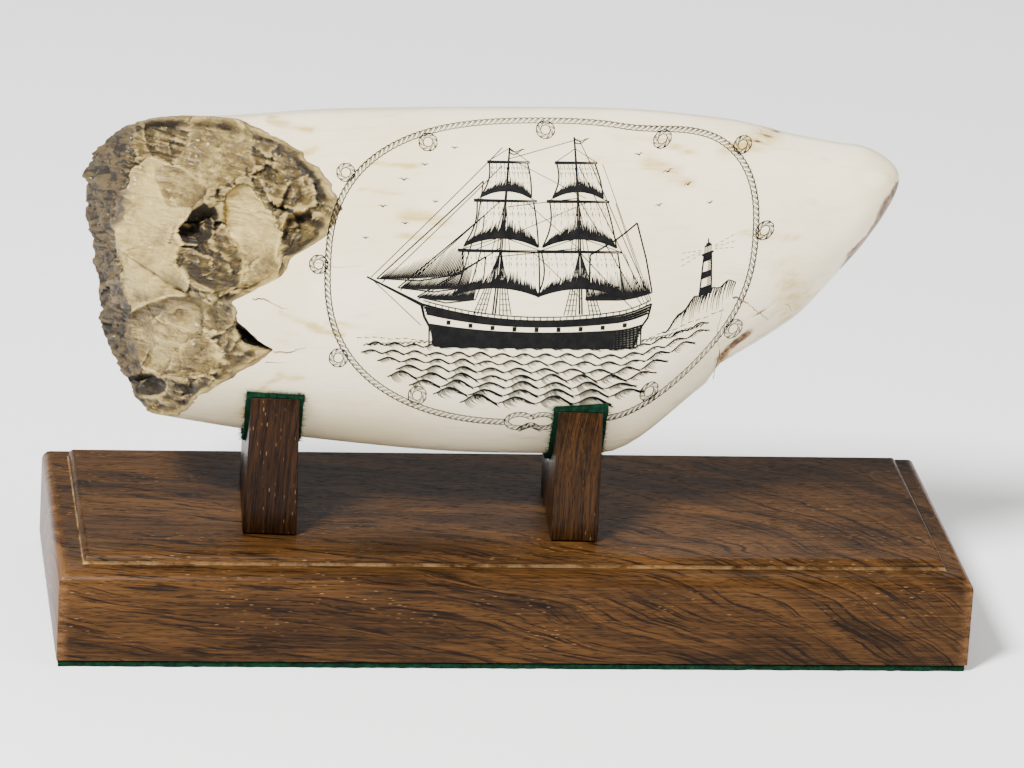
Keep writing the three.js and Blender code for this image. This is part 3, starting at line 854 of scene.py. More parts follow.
def draw_sea(drawing):
    """Rows of curling waves, each a crest line with hatching under it."""
    chance = drawing.chance
    for row, y in enumerate(np.linspace(SEA_LEVEL - 1.6, -29.0, 8)):
        length = mix(4.2, 8.5, row / 7)
        start = -46 + (row % 2) * length / 2
        for x in np.arange(start, 46, length):
            if not (inside_border(x, y) and inside_border(x + length, y - 1)):
                continue
            crest = mix(0.7, 1.7, row / 7) * chance.uniform(0.8, 1.2)
            shape = [(x + length * t, y + crest * math.sin(math.pi * t) ** 1.6 * (1.25 - 0.5 * t))
                     for t in np.linspace(0, 1, 10)]
            drawing.line(shape, 0.24, 0.4)
            for t in np.arange(0.12, 0.95, 0.16 / length * 1.9):
                k = int(t * 9)
                top = mix(np.array(shape[k]), np.array(shape[k + 1]), t * 9 - k)
                drop = crest * chance.uniform(0.5, 1.25) * (1.1 - 0.6 * t)
                drawing.line([top, top + (0.35 * drop, -0.55 * drop), top + (1.1 * drop, -drop)],
                             0.2, 0.15)
    for side in (-1, 1):
        for k in range(14):
            x = -24 + side * 1.2 * k if side < 0 else 23 + 1.0 * k
            y = SEA_LEVEL - 0.6 - 0.1 * k
            if inside_border(x, y, 3):
                drawing.line([(x, y), (x + 0.8, y + 0.5), (x + 1.8, y + 0.1)], 0.18)
    for x in np.arange(-45, 45, 1.7):
        y = SEA_LEVEL + 0.15 * math.sin(x)
        if inside_border(x - 0.5, y, 2) and inside_border(x + 1.6, y, 2) and not -25 < x < 22:
            drawing.line([(x, y), (x + 1.2, y)], 0.15)


def draw_headland(drawing):
    """A low headland with a lighthouse, far off on the right."""
    chance = drawing.chance

    def ridge(x):
        return (SEA_LEVEL + 5.2 * smoothstep(27, 35, x) + 0.5 * math.sin(x * 1.7)
                + 0.9 * smoothstep(36, 41, x))

    xs = np.linspace(27.5, 43.2, 20)
    drawing.line([(x, float(ridge(x))) for x in xs], 0.24, 0.5)
    for x in np.arange(28.5, 43.2, 0.42):
        top = float(ridge(x))
        drop = (top - SEA_LEVEL) * chance.uniform(0.35, 0.95)
        drawing.line([(x, top), (x - 0.5, top - drop * 0.5), (x - 0.6, top - drop)], 0.18, 0.2)
    foot, head = float(ridge(LIGHTHOUSE)), float(ridge(LIGHTHOUSE)) + 9.2
    for side in (-1, 1):
        drawing.line([(LIGHTHOUSE + side * 1.35, foot), (LIGHTHOUSE + side * 0.8, head)], 0.2, 1)
    for t in np.linspace(0.04, 0.96, 24):
        half = mix(1.35, 0.8, t)
        dark = int(t * 5) % 2 == 0
        drawing.line([(LIGHTHOUSE - half * (0.95 if dark else -0.2), mix(foot, head, t)),
                      (LIGHTHOUSE + half * 0.95, mix(foot, head, t))], 0.26 if dark else 0.12, 0.8)
    for lift, half, width in ((0, 1.3, 0.3), (1.7, 0.8, 0.22), (2.1, 0.5, 0.22)):
        drawing.line([(LIGHTHOUSE - half, head + lift), (LIGHTHOUSE + half, head + lift)], width, 1)
    for x in (-0.65, -0.2, 0.2, 0.65):
        drawing.line([(LIGHTHOUSE + x, head), (LIGHTHOUSE + x, head + 1.6)], 0.13, 1)
    drawing.line([(LIGHTHOUSE, head + 2.2), (LIGHTHOUSE, head + 3.3)], 0.16, 1)
    for turn in (-14, 0, 14, 166, 180, 194):
        c, s = math.cos(math.radians(turn)), math.sin(math.radians(turn))
        ray = [(LIGHTHOUSE + reach * c, head + 0.8 + reach * s) for reach in (1.6, 6.2)]
        drawing.dashes(ray, 0.11, 0.8, 0.4)


def draw_gulls(drawing):
    for x, y, wing in ((-31, 19, 1.3), (-26.5, 22.5, 1.0), (-35.5, 13, 1.1), (-30.5, 9.5, 0.9),
                       (-39, 6, 0.8), (-24, 14.5, 0.8), (27, 20, 1.3), (31.5, 15.5, 1.0),
                       (25.2, 13.2, 0.9), (36.5, 9.5, 0.8), (-20, 26.5, 0.9), (20.5, 25.4, 1.1)):
        for side in (-1, 1):
            drawing.line([(x, y), (x + side * wing * 0.45, y + wing * 0.42),
                          (x + side * wing, y + wing * 0.2)], 0.2, 0.2)


def front_surface(across, up):
    """Point and outward direction on the tooth's front, where the camera sees the given
    millimetres across and up from the tooth's middle line."""
    _, middle, half_height, half_thickness = tooth_section(share_at(across))
    pitch = math.radians(CAMERA_TURN[1])
    tall, deep = half_height * math.cos(pitch), half_thickness * math.sin(pitch)
    turn = np.arctan2(deep, tall) + np.arcsin(np.clip(up / np.hypot(tall, deep), -0.999, 0.999))
    at = np.stack([across, -half_thickness * np.cos(turn), middle + half_height * np.sin(turn)], -1)
    at[:, 1] += surface_swell(at)
    out = np.stack([0 * turn, -np.cos(turn) / half_thickness, np.sin(turn) / half_height], -1)
    return at, out / np.linalg.norm(out, axis=1)[:, None]


def engraved_mesh(strokes, name, settings):
    """One mesh of thin closed ribbons, each with a flat top just above the ivory and a
    keel below it."""
    top_lift, keel_depth, step = 0.025, settings.cut_depth / MM, 1.1
    points, faces, count = [], [], 0
    for line, width, taper in strokes:
        reach = path_reach(line)
        pieces = max(len(line) - 1, int(math.ceil(reach[-1] / step)), 1)
        places = np.unique(np.concatenate([reach, np.linspace(0, reach[-1], pieces + 1)]))
        places = places[np.concatenate([[True], np.diff(places) > 0.05])]
        flat = along_path(places, reach, line)
        if len(flat) < 2:
            continue
        at, out = front_surface(flat[:, 0] + PICTURE_AT[0], flat[:, 1] + PICTURE_AT[1])
        along = np.gradient(at, axis=0)
        side = np.cross(along, out)
        side /= np.linalg.norm(side, axis=1)[:, None]
        t = places / reach[-1]
        half = (settings.line_weight / 2 * width * mix(1, taper, t))[:, None]
        rows = np.stack([at - side * half + out * top_lift, at + side * half + out * top_lift,
                         at - out * keel_depth], 1)
        points.append(rows.reshape(-1, 3))
        for k in range(len(rows) - 1):
            faces += band(count + 3 * k, 3)
        last = count + 3 * (len(rows) - 1)
        faces += [(count + 2, count + 1, count), (last, last + 1, last + 2)]
        count += 3 * len(rows)
    return mesh_piece(name, turned(np.concatenate(points)), faces)


def model_engraving(settings):
    drawing = Drawing(5)
    draw_border(drawing)
    draw_gulls(drawing)
    draw_headland(drawing)
    draw_sea(drawing)
    draw_hull(drawing)
    draw_rigging(drawing)
    draw_fore_and_aft(drawing)
    for mast in MASTS:
        for sail in SAILS:
            draw_sail(drawing, mast, sail)
    return engraved_mesh(drawing.strokes, "engraved_picture", settings)


def model_hairlines(settings):
    """Fine cracks in the ivory, placed where they are seen from the front."""
    drawing = Drawing(23)
    for line, width in HAIRLINES:
        seen = np.array(line, float)
        places = np.linspace(0, len(seen) - 1, 6 * len(seen))
        seen = along_path(places, range(len(seen)), seen)
        seen += drawing.chance.normal(0, 0.12, seen.shape)
        flat = seen.copy()
        for _ in range(8):
            at, _ = front_surface(flat[:, 0], flat[:, 1])
            flat += seen - np.column_stack(seen_from_front(at))
        drawing.line(flat - PICTURE_AT, width, 0.3)
    return engraved_mesh(drawing.strokes, "ivory_cracks", settings)


# Stand

def model_board(settings):
    """The moulded board, drawn up from its underside one profile step at a time."""
    profile = [(0, BOARD_BOTTOM)]
    for turn in np.linspace(0, math.pi / 2, 11):
        profile.append((BOARD_ROUND_RADIUS * (1 - math.cos(turn)),
                        BOARD_ROUND_TOP - BOARD_ROUND_RADIUS * (1 - math.sin(turn))))
    foot = BOARD_ROUND_RADIUS + BOARD_FLAT_WIDTH
    profile.append((foot, BOARD_ROUND_TOP))
    for turn in np.linspace(0.25, math.pi / 2, 7):
        profile.append((foot + (BOARD_STEP_RUN + BOARD_ARRIS) * (1 - math.cos(turn)),
                        BOARD_ROUND_TOP + BOARD_STEP_RISE * math.sin(turn)))
    return drawn_up_block("moulded_board", profile, settings.board_edge / MM)


def drawn_up_block(name, profile, edge):
    """A block whose outline steps inwards by (inset, height) rows, by extruding a plane."""
    bpy.ops.object.select_all(action="DESELECT")
    bpy.ops.mesh.primitive_plane_add(size=2)
    piece = bpy.context.object
    piece.name = piece.data.name = name
    bpy.ops.object.mode_set(mode="EDIT")
    bpy.ops.mesh.select_all(action="SELECT")
    half = np.array(BASE_HALF)
    now, height = half - profile[0][0], profile[0][1]
    bpy.ops.transform.resize(value=(now[0] * MM, now[1] * MM, 1), center_override=(0, 0, 0))
    bpy.ops.transform.translate(value=(0, 0, height * MM))
    for inset, z in profile[1:]:
        after = half - inset
        bpy.ops.mesh.extrude_region_move(
            TRANSFORM_OT_translate={"value": (0, 0, (z - height) * MM)})
        bpy.ops.transform.resize(value=(after[0] / now[0], after[1] / now[1], 1),
                                 center_override=(0, 0, 0))
        now, height = after, z
    bpy.ops.object.mode_set(mode="OBJECT")
    face_outwards(piece)
    soften_edges(piece, edge, 2, 60)
    shade_smooth(piece, 35)
    return piece


def seat_reach(x, middle, angle, clearance):
    """Distance from the middle height to the tooth's underside, with a clearance."""
    _, centre, half_height, half_thickness = (part[0] for part in tooth_section(
        np.array([share_at(x)])))
    wide, high = half_thickness + clearance, half_height + clearance
    drop = middle - centre
    across = (math.sin(angle) / wide) ** 2 + (math.cos(angle) / high) ** 2
    half = -drop * math.cos(angle) / high ** 2
    return (-half + math.sqrt(half * half - across * ((drop / high) ** 2 - 1))) / across


def middle_height(x):
    return tooth_section(np.array([share_at(x)]))[1][0]


def seat_point(cradle, angle):
    middle = middle_height(cradle["x"])
    stations = [cradle["x"] + side * cradle["foot"] for side in (-0.5, 0, 0.5)]
    reach = max(seat_reach(x, middle, angle, SEAT_CLEARANCE) for x in stations)
    return reach * math.sin(angle), middle - reach * math.cos(angle)


def seat_angle(cradle, height, side):
    low, high = 0.0, math.pi / 2
    for _ in range(30):
        angle = (low + high) / 2
        if seat_point(cradle, side * angle)[1] < CRADLE_BOTTOM + height:
            low = angle
        else:
            high = angle
    return side * low


def model_cradle(cradle, settings):
    """One upright: straight front, hollow seat, swept back and worn edges."""
    height = cradle["height"]
    lip_front = seat_point(cradle, seat_angle(cradle, height, -1))[0]
    lip_back = seat_point(cradle, seat_angle(cradle, height, 1))[0]
    front_top = min(cradle["front"] + cradle["lean"], lip_front - 2 * FIT_GAP)
    back_top = lip_back + CRADLE_LIP
    back_foot = cradle["front"] + CRADLE_FOOT_DEPTH
    lip, back_lip = (lip_front - front_top) / 2, CRADLE_LIP / 2
    outline = []
    for t in np.linspace(0, 1, 13):
        y = mix(cradle["front"], front_top, t * t) - CRADLE_BULGE * math.sin(math.pi * t)
        outline.append((y, CRADLE_BOTTOM + t * (height - lip)))
    for turn in np.linspace(math.pi, 0, 8)[1:-1]:
        outline.append((front_top + lip * (1 + math.cos(turn)),
                        CRADLE_BOTTOM + height - lip * (1 - math.sin(turn))))
    start, end = seat_angle(cradle, height - lip, -1), seat_angle(cradle, height - back_lip, 1)
    outline += [seat_point(cradle, angle) for angle in np.linspace(start, end, 33)]
    for turn in np.linspace(math.pi, 0, 8)[1:-1]:
        outline.append((back_top - back_lip * (1 - math.cos(turn)),
                        CRADLE_BOTTOM + height - back_lip * (1 - math.sin(turn))))
    for t in np.linspace(1, 0, 13):
        outline.append((mix(back_foot, back_top, t ** CRADLE_BACK_SWEEP),
                        CRADLE_BOTTOM + t * (height - back_lip)))
    outline = np.array(outline)
    share = (outline[:, 1] - CRADLE_BOTTOM) / height
    half = mix(cradle["foot"], cradle["top"], share) / 2
    sides = [np.column_stack([cradle["x"] + side * half, outline]) for side in (-1, 1)]
    count = len(outline)
    faces = [tuple(range(count)), tuple(reversed(range(count, 2 * count))), *band(0, count)]
    piece = mesh_piece(cradle["name"] + "_upright", turned(np.concatenate(sides)), faces)
    soften_edges(piece, settings.cradle_edge / MM, 4, 55)
    shade_smooth(piece, 35)
    return piece


def fuzz(roots, outwards, length, seed):
    """Short bent fibres that stand out of felt, as thin closed spikes."""
    chance = np.random.default_rng(seed)
    points, faces = [], []
    for root, out in zip(roots, outwards):
        reach = length * chance.uniform(0.4, 1.3)
        lean = chance.normal(0, 0.55, 3)
        bend = chance.normal(0, 0.35, 3)
        side = np.cross(out, chance.normal(0, 1, 3))
        side /= np.linalg.norm(side) + 1e-9
        other = np.cross(out, side)
        thick = chance.uniform(0.022, 0.04)
        start = len(points)
        for share, wide in ((-0.25, 1.0), (0.5, 0.8)):
            at = root + (out + lean * 0.6) * reach * share + bend * reach * max(share, 0)
            for turn in (0, 2.094, 4.189):
                points.append(at + thick * wide * (math.cos(turn) * side + math.sin(turn) * other))
        points.append(root + (out + lean) * reach + bend * reach * 1.6)
        a, b, tip = start, start + 3, start + 6
        faces += [(a + 2, a + 1, a)]
        faces += band(a, 3)
        faces += [(b + i, b + (i + 1) % 3, tip) for i in range(3)]
    return np.array(points), faces


def with_fuzz(points, faces, roots, outwards, length, seed, room=None):
    """Adds fibres to a felt sheet's points and faces, held inside a room if one is given."""
    extra, extra_faces = fuzz(roots, outwards, length, seed)
    if room:
        extra = np.clip(extra, *room)
    faces = list(faces) + [tuple(len(points) + i for i in face) for face in extra_faces]
    return np.concatenate([points, extra]), faces


def model_cradle_felt(cradle, settings, seed):
    """The felt strip in a cradle's seat, a little wider and higher than the wood."""
    x, middle = cradle["x"], middle_height(cradle["x"])
    top = cradle["height"] + CRADLE_FELT_RISE
    start, end = seat_angle(cradle, top - CRADLE_FELT_FRONT_DROP, -1), seat_angle(cradle, top, 1)
    half = cradle["top"] / 2 + CRADLE_FELT_OVERHANG
    angles = np.linspace(start, end, 61)
    chance = np.random.default_rng(seed)
    stations = np.linspace(-half, half, 7)
    rows = []
    for station in stations:
        edge = 0.25 * (abs(station) > half - 0.1)
        wave = edge * np.convolve(chance.normal(0, 1, len(angles) + 4), np.ones(5) / 5, "valid")
        inner = [seat_reach(x + station, middle, angle, FIT_GAP) for angle in angles]
        outer = [seat_point(cradle, angle) for angle in angles]
        place = x + station + wave * np.sign(station)
        rows.append([(px, r * math.sin(a), middle - r * math.cos(a))
                     for px, r, a in zip(place, inner, angles)])
        rows[-1] += [(px, y - FIT_GAP * math.sin(a), z + FIT_GAP * math.cos(a))
                     for px, (y, z), a in zip(place[::-1], outer[::-1], angles[::-1])]
    points = np.array(rows).reshape(-1, 3)
    around = 2 * len(angles)
    faces = [tuple(range(around)), tuple(reversed(range(6 * around, 7 * around)))]
    for strip in range(6):
        faces += band(strip * around, around)
    roots, outwards = [], []
    for _ in range(2200):
        k = chance.integers(0, len(angles) - 1)
        inner = np.array(rows[0][k])
        outer = np.array(rows[0][around - 1 - k])
        across = chance.uniform(0, 1)
        if chance.uniform() < 0.7:
            side = chance.choice((-1, 1))
            spot = mix(inner, outer, across)
            spot[0] = x + side * half
            out = np.array((side, 0.0, 0.0))
        else:
            last = chance.choice((0, len(angles) - 1))
            spot = mix(np.array(rows[0][last]), np.array(rows[0][around - 1 - last]), across)
            spot[0] = x + chance.uniform(-half, half)
            out = np.array((0.0, -0.3 if last == 0 else 0.3, 0.95))
        roots.append(spot)
        outwards.append(out)
    points, faces = with_fuzz(points, faces, roots, outwards, settings.fibre / MM, seed + 1)
    piece = mesh_piece(cradle["name"] + "_felt_strip", turned(points), faces)
    shade_smooth(piece, 50)
    return piece


def model_base_felt(settings):
    """The felt sheet under the board, with fibres and lint along its cut edge."""
    half = np.array(BASE_HALF) - BASE_FELT_INSET
    chance = np.random.default_rng(77)
    corners = []
    for side, count in ((0, 120), (1, 46), (2, 120), (3, 46)):
        for t in np.arange(count) / count:
            a = [(-1, -1), (1, -1), (1, 1), (-1, 1)][side]
            b = [(1, -1), (1, 1), (-1, 1), (-1, -1)][side]
            corners.append((mix(a[0], b[0], t) * half[0], mix(a[1], b[1], t) * half[1]))
    edge = np.array(corners)
    ragged = chance.uniform(-0.22, 0.1, (len(edge), 1))
    edge += ragged * np.sign(edge) * (np.abs(edge) > half - 0.01)
    count = len(edge)
    points = np.concatenate([np.column_stack([edge, np.full(count, z)])
                             for z in (0.0, BASE_FELT_THICKNESS)])
    faces = [tuple(reversed(range(count))), tuple(range(count, 2 * count)), *band(0, count)]
    roots, outwards = [], []
    for _ in range(2600):
        k = chance.integers(0, count)
        out = np.array((*(np.sign(edge[k]) * (np.abs(edge[k]) > half - 0.5)), 0.0))
        roots.append(np.array((*mix(edge[k], edge[(k + 1) % count], chance.uniform()),
                               chance.uniform(0.35, BASE_FELT_THICKNESS - 0.1))))
        outwards.append(out / max(1.0, np.linalg.norm(out)))
    side, end = np.array(BASE_HALF) - 0.02
    room = (-side, -end, 0.02), (side, end, BOARD_BOTTOM)
    points, faces = with_fuzz(points, faces, roots, outwards, settings.fibre / MM, 78, room)
    return mesh_piece("base_felt_sheet", points, faces)


# Shader values that Python's own operators work on

class Shade:
    """One number or colour socket of a material, for writing shader maths as expressions."""

    def __init__(self, finish, socket):
        self.finish = finish
        self.socket = socket

    def _maths(self, operation, *values):
        return self.finish.node("ShaderNodeMath", {"operation": operation}, *values)[0]

    def __add__(self, other):
        return self._maths("ADD", self, other)

    def __sub__(self, other):
        return self._maths("SUBTRACT", self, other)

    def __rsub__(self, other):
        return self._maths("SUBTRACT", other, self)

    def __mul__(self, other):
        return self._maths("MULTIPLY", self, other)

    __radd__ = __add__
    __rmul__ = __mul__

    def clipped(self):
        return self.finish.node("ShaderNodeClamp", {}, self)[0]

    def higher(self, other):
        return self._maths("MAXIMUM", self, other)

    def size(self):
        return self._maths("ABSOLUTE", self)

    def ramp(self, low, high, start=0.0, end=1.0):
        """Smoothly from start at low to end at high."""
        settings = {"interpolation_type": "SMOOTHSTEP"}
        return self.finish.node("ShaderNodeMapRange", settings, self, low, high, start, end)[0]


class Finish:
    """A procedural material under construction."""

    def __init__(self, name):
        self.material = bpy.data.materials.new(name)
        self.material.use_nodes = True
        self.tree = self.material.node_tree
        self.shader = self.tree.nodes["Principled BSDF"]
        self.place = self.node("ShaderNodeTexCoord", {})[3]

    def node(self, kind, settings, *values, **named):
        """Adds a node, sets its settings, fills its sockets and returns its outputs."""
        made = self.tree.nodes.new(kind)
        for key, value in settings.items():
            setattr(made, key, value)
        for key, value in list(enumerate(values)) + list(named.items()):
            if value is not None:
                self.feed(made.inputs[key], value)
        return [Shade(self, output) for output in made.outputs]

    def feed(self, socket, value):
        """Links a shader value to a socket, or sets the socket to a plain one."""
        if isinstance(value, Shade):
            self.tree.links.new(value.socket, socket)
        else:
            socket.default_value = value

    def attribute(self, name):
        return self.node("ShaderNodeAttribute", {"attribute_name": name})[2]

    def moved(self, place, shift=(0, 0, 0), turn=(0, 0, 0), scale=(1, 1, 1)):
        return self.node("ShaderNodeMapping", {}, place, shift, turn, scale)[0]

    def axes(self, place):
        return self.node("ShaderNodeSeparateXYZ", {}, place)

    def joined(self, x, y, z):
        return self.node("ShaderNodeCombineXYZ", {}, x, y, z)[0]

    def noise(self, place, scale, detail=4.0, rough=0.55, warp=0.0):
        return self.node("ShaderNodeTexNoise", {}, Vector=place, Scale=scale, Detail=detail,
                         Roughness=rough, Distortion=warp)[0]

    def cells(self, place, scale):
        return self.node("ShaderNodeTexVoronoi", {}, Vector=place, Scale=scale)[0]

    def colour_mix(self, amount, low, high, blend="MIX"):
        """Mixes two colours by an amount."""
        ends = [end if isinstance(end, Shade) else (*end[:3], 1) for end in (low, high)]
        settings = {"data_type": "RGBA", "blend_type": blend, "clamp_factor": True}
        return self.node("ShaderNodeMix", settings, amount, *[None] * 5, *ends)[2]

    def bump(self, height, distance, strength):
        return self.node("ShaderNodeBump", {}, Strength=strength, Distance=distance,
                         Height=height)[0]

    def fill(self, **sockets):
        """Sets or links sockets of the surface shader."""
        for key, value in sockets.items():
            self.feed(self.shader.inputs[key.replace("_", " ")], value)
        return self.material


def ivory_finish(settings):
    """Polished cream ivory with faint streaks; raw, dirty dentine and a dark crust where broken,
    with painted shade in the break's hollows and pits and a painted highlight on its raised edges.
    """
    f = Finish("ivory")
    long_place = f.moved(f.place, scale=(0.18, 1, 1))
    clouds = f.noise(f.place, 28, 3)
    streaks = f.noise(long_place, 260, 5, 0.6, 0.6).ramp(0.56, 0.78)
    fine = f.noise(long_place, 900, 3).ramp(0.5, 0.8)
    sound = f.colour_mix(clouds.ramp(0.35, 0.7), settings.cream, settings.cream_shadow)
    sound = f.colour_mix(streaks * 0.6, sound, settings.streak)
    sound = f.colour_mix(fine * 0.18, sound, settings.streak)
    patchy = f.noise(long_place, 420, 5, 0.7).ramp(0.35, 0.65) + 0.35
    stain = (f.attribute("stain") * patchy).clipped()
    sound = f.colour_mix(stain * 0.95, sound, settings.stain)
    worn = (f.attribute("worn") + f.noise(f.place, 500, 5, 0.7) - 0.5).ramp(0.2, 0.85)
    rust = f.colour_mix(f.noise(f.place, 700, 5).ramp(0.4, 0.6),
                        settings.worn_dark, settings.worn_pale)
    sound = f.colour_mix(worn, sound, rust)
    broken = f.attribute("broken")
    dirt_and_pit_shade, crust = f.attribute("dirt_and_pit_shade"), f.attribute("crust")
    hollow, polish = f.attribute("hollow"), f.attribute("polish")
    mottle = f.noise(f.place, 320, 6, 0.65)
    blotch = f.noise(f.place, 90, 5, 0.6)
    speck = f.noise(f.place, 1000, 4, 0.7)
    lie = f.moved(f.place, turn=(0, math.radians(-15), 0), scale=(0.1, 0.5, 1))
    splinters = f.noise(lie, 950, 5, 0.65, 0.4)
    wide_splinters = f.noise(lie, 330, 4, 0.6, 0.8)
    # Darkening of the break: dirt and blotches, plus painted shade in its recesses (from the hollow
    # field) and in its deepest pits (from the dirt field)
    soil_and_shade = (dirt_and_pit_shade * 0.75 + hollow * 0.9 + (blotch - 0.5) * 1.2 + (mottle - 0.5) * 1.1
            + (speck - 0.5) * 0.5 + (splinters - 0.5) * 0.7)
    aged_and_painted_shade = dirt_and_pit_shade * 0.9 + (blotch - 0.5) * 1.6 + (splinters - 0.5) * 0.6
    raw = f.colour_mix(aged_and_painted_shade.ramp(-0.05, 0.45), settings.raw_pale, settings.raw_tan)
    # Painted highlight: parts of the break that stand above their neighbours are lightened towards
    # the pale edge colour, along with the splinter fringes
    fringe = (wide_splinters + splinters * 0.5).ramp(0.78, 0.95)
    edges = (hollow * -1.6 + fringe * 0.6).clipped() * 0.8
    raw = f.colour_mix(edges, raw, settings.raw_edge_and_highlight)
    raw = f.colour_mix(soil_and_shade.ramp(0.3, 1.0), raw, settings.soil_and_shade)
    # Crust: mottled dark and pale, and a little darker in its pits as painted shade
    bark = f.colour_mix((mottle - hollow * 0.25).ramp(0.35, 0.65),
                        settings.crust_dark, settings.crust_pale)
    raw = f.colour_mix(crust.ramp(0.2, 0.6), raw, bark)
    colour = f.colour_mix(broken, sound, raw)
    scratches = f.noise(long_place, 1500, 4)
    grit = f.noise(f.place, 1100, 5, 0.7)
    relief = splinters * 1.6 + wide_splinters * 1.8 + grit * (1.3 - polish)
    height = scratches * (1 - broken) * 0.05 + relief * broken * (1.25 - polish * 0.75)
    normal = f.bump(height, 0.0016, 0.9)
    rough_sound = scratches.ramp(0.3, 0.7, 0.16, 0.26) + worn * 0.4
    rough_broken = (1 - polish) * 0.2 + grit * 0.2 + 0.13 + crust * 0.3
    roughness = rough_sound * (1 - broken) + rough_broken * broken
    f.fill(Base_Color=colour, Roughness=roughness, Normal=normal)
    f.fill(IOR=1.54, Subsurface_Weight=0.12, Subsurface_Scale=0.0015)
    f.fill(Coat_Weight=0.25 - broken * 0.13, Coat_Roughness=0.12)
    return f.material


def rosewood_finish(name, settings, grain, turn=(0, 0, 0), painted_shade_levels=(0, 0)):
    """Rosewood: dark streaks that follow bent growth layers, open pores and satin lacquer, and for
    the cradles a tint of painted shade whose strength changes from left to right.
    """
    f = Finish(name)
    place = f.moved(f.place, turn=turn)
    across, up, along, swaying, drifting, bowed = grain
    x, y, z = f.axes(place)
    sway = f.noise(f.moved(place, scale=(0.35, 1, 1)), 26, 3) - 0.5
    drift = f.noise(f.moved(place, scale=(0.25, 1, 1)), 70, 3) - 0.5
    bend = x.higher(0.0)
    layers = (y * across + z * up + x * along + bend * bend * bowed
              + sway * swaying + drift * drifting)
    bands = f.noise(f.joined(layers, 0.0, 0.0), 1.7, 4, 0.7)
    fine_bands = f.noise(f.joined(layers, x * 4.0, 3.1), 11.0, 5, 0.75)
    fibre = f.noise(f.moved(place, scale=(0.03, 1, 1), turn=(0, math.radians(-5), 0)), 2100, 5, 0.7)
    wide = f.noise(f.moved(place, scale=(0.3, 1, 1)), 45, 4)
    tone = bands * 0.5 + fibre * 0.42 + wide * 0.3
    colour = f.colour_mix(tone.ramp(0.48, 0.78), settings.heart, settings.warm)
    colour = f.colour_mix(fine_bands.ramp(0.51, 0.6) * 0.85, colour, settings.streak)
    colour = f.colour_mix(bands.ramp(0.58, 0.72) * 0.7, colour, settings.streak)
    pores = f.cells(f.moved(place, scale=(0.1, 1, 1)), 2500).ramp(0.34, 0.16)
    flecks = f.cells(f.moved(place, (0.013, 0.007, 0.003), scale=(0.2, 1, 1)), 1500).ramp(0.2, 0.1)
    # Painted shade: the wood is darkened by a multiplied tint, as strongly as the levels given for
    # the left and the right side; the board gets none
    shade = f.axes(f.place)[0].ramp(-0.03, 0.0, *painted_shade_levels)
    colour = f.colour_mix(shade, colour, settings.aged_and_painted_shade, "MULTIPLY")
    lit = f.noise(f.moved(place, scale=(0.3, 1, 1)), 120, 3).ramp(0.45, 0.7)
    colour = f.colour_mix(pores * 0.6, colour, settings.pore)
    colour = f.colour_mix(flecks * lit * 0.6, colour, settings.fleck)
    if name == "board_rosewood":
        colour = board_marks(f, settings, colour)
    height = fibre * 0.25 - pores
    normal = f.bump(height, 0.00014, 0.5)
    roughness = fibre * 0.14 + pores * 0.25 + 0.3
    f.fill(Base_Color=colour, Roughness=roughness, Normal=normal, IOR=1.42, Specular_IOR_Level=0.07)
    f.fill(Coat_Weight=0.05, Coat_Roughness=0.18)
    return f.material


def board_marks(f, settings, colour):
    """End grain on the board's ends, and old wax in the corner of its moulding."""
    x, y, z = f.axes(f.place)
    foot = (BOARD_ROUND_RADIUS + BOARD_FLAT_WIDTH) * MM
    inset = (x.size() - (BASE_HALF[0] * MM - foot)).higher(y.size() - (BASE_HALF[1] * MM - foot))
    groove = (inset + 0.0001).size().ramp(0.00042, 0.00012)
    low = z.ramp((BOARD_ROUND_TOP + 0.9) * MM, (BOARD_ROUND_TOP + 0.5) * MM)
    ragged = f.noise(f.place, 260, 4, 0.7).ramp(0.3, 0.7)
    wax = groove * low * ragged * (x.size().ramp(0.0935, 0.0955) * 0.6 + 0.4)
    ends = x.size().ramp(0.0985, 0.1012) * z.ramp(0.0225, 0.0215)
    rings = f.noise(f.joined(y * 0.9 + z * 1.6 + y * y * 14, z * 0.1, 0.0), 330, 4, 0.7)
    end_grain = (rings * 0.8 + f.noise(f.place, 1900, 5, 0.75) * 0.5).ramp(0.5, 0.8)
    end_colour = f.colour_mix(end_grain, settings.end_dark, settings.end_pale)
    colour = f.colour_mix(ends * 0.75, colour, end_colour)
    return f.colour_mix(wax * 0.85, colour, settings.wax)


def crack_finish(settings):
    f = Finish("crack_dirt")
    colour = f.colour_mix(f.noise(f.place, 300, 3).ramp(0.35, 0.65), settings.soil_and_shade, settings.streak)
    f.fill(Base_Color=colour, Roughness=0.8)
    return f.material


def ink_finish(settings):
    f = Finish("engraving_ink")
    rub = f.noise(f.place, 500, 4)
    colour = f.colour_mix(rub.ramp(0.3, 0.75), settings.ink, settings.ink_worn)
    f.fill(Base_Color=colour, Roughness=rub.ramp(0.3, 0.7, 0.5, 0.75), Specular_IOR_Level=0.08)
    return f.material


def felt_finish(settings):
    f = Finish("green_felt")
    wool = f.noise(f.place, 700, 6, 0.7)
    lint = f.noise(f.place, 160, 4, 0.6)
    colour = f.colour_mix(wool.ramp(0.3, 0.7), settings.deep, settings.green)
    colour = f.colour_mix(lint.ramp(0.62, 0.8) * 0.35, colour, settings.pale)
    normal = f.bump(wool, 0.0008, 0.9)
    f.fill(Base_Color=colour, Roughness=1.0, Normal=normal, Specular_IOR_Level=0.1)
    return f.material


# Settings that a user can change

def length_setting(name, description, default):
    return bpy.props.FloatProperty(
        name=name, description=description, unit="LENGTH", precision=5, min=0, default=default * MM)


def colour_setting(name, description, default):
    return bpy.props.FloatVectorProperty(
        name=name, description=description, subtype="COLOR", size=3, min=0, max=1, default=default)


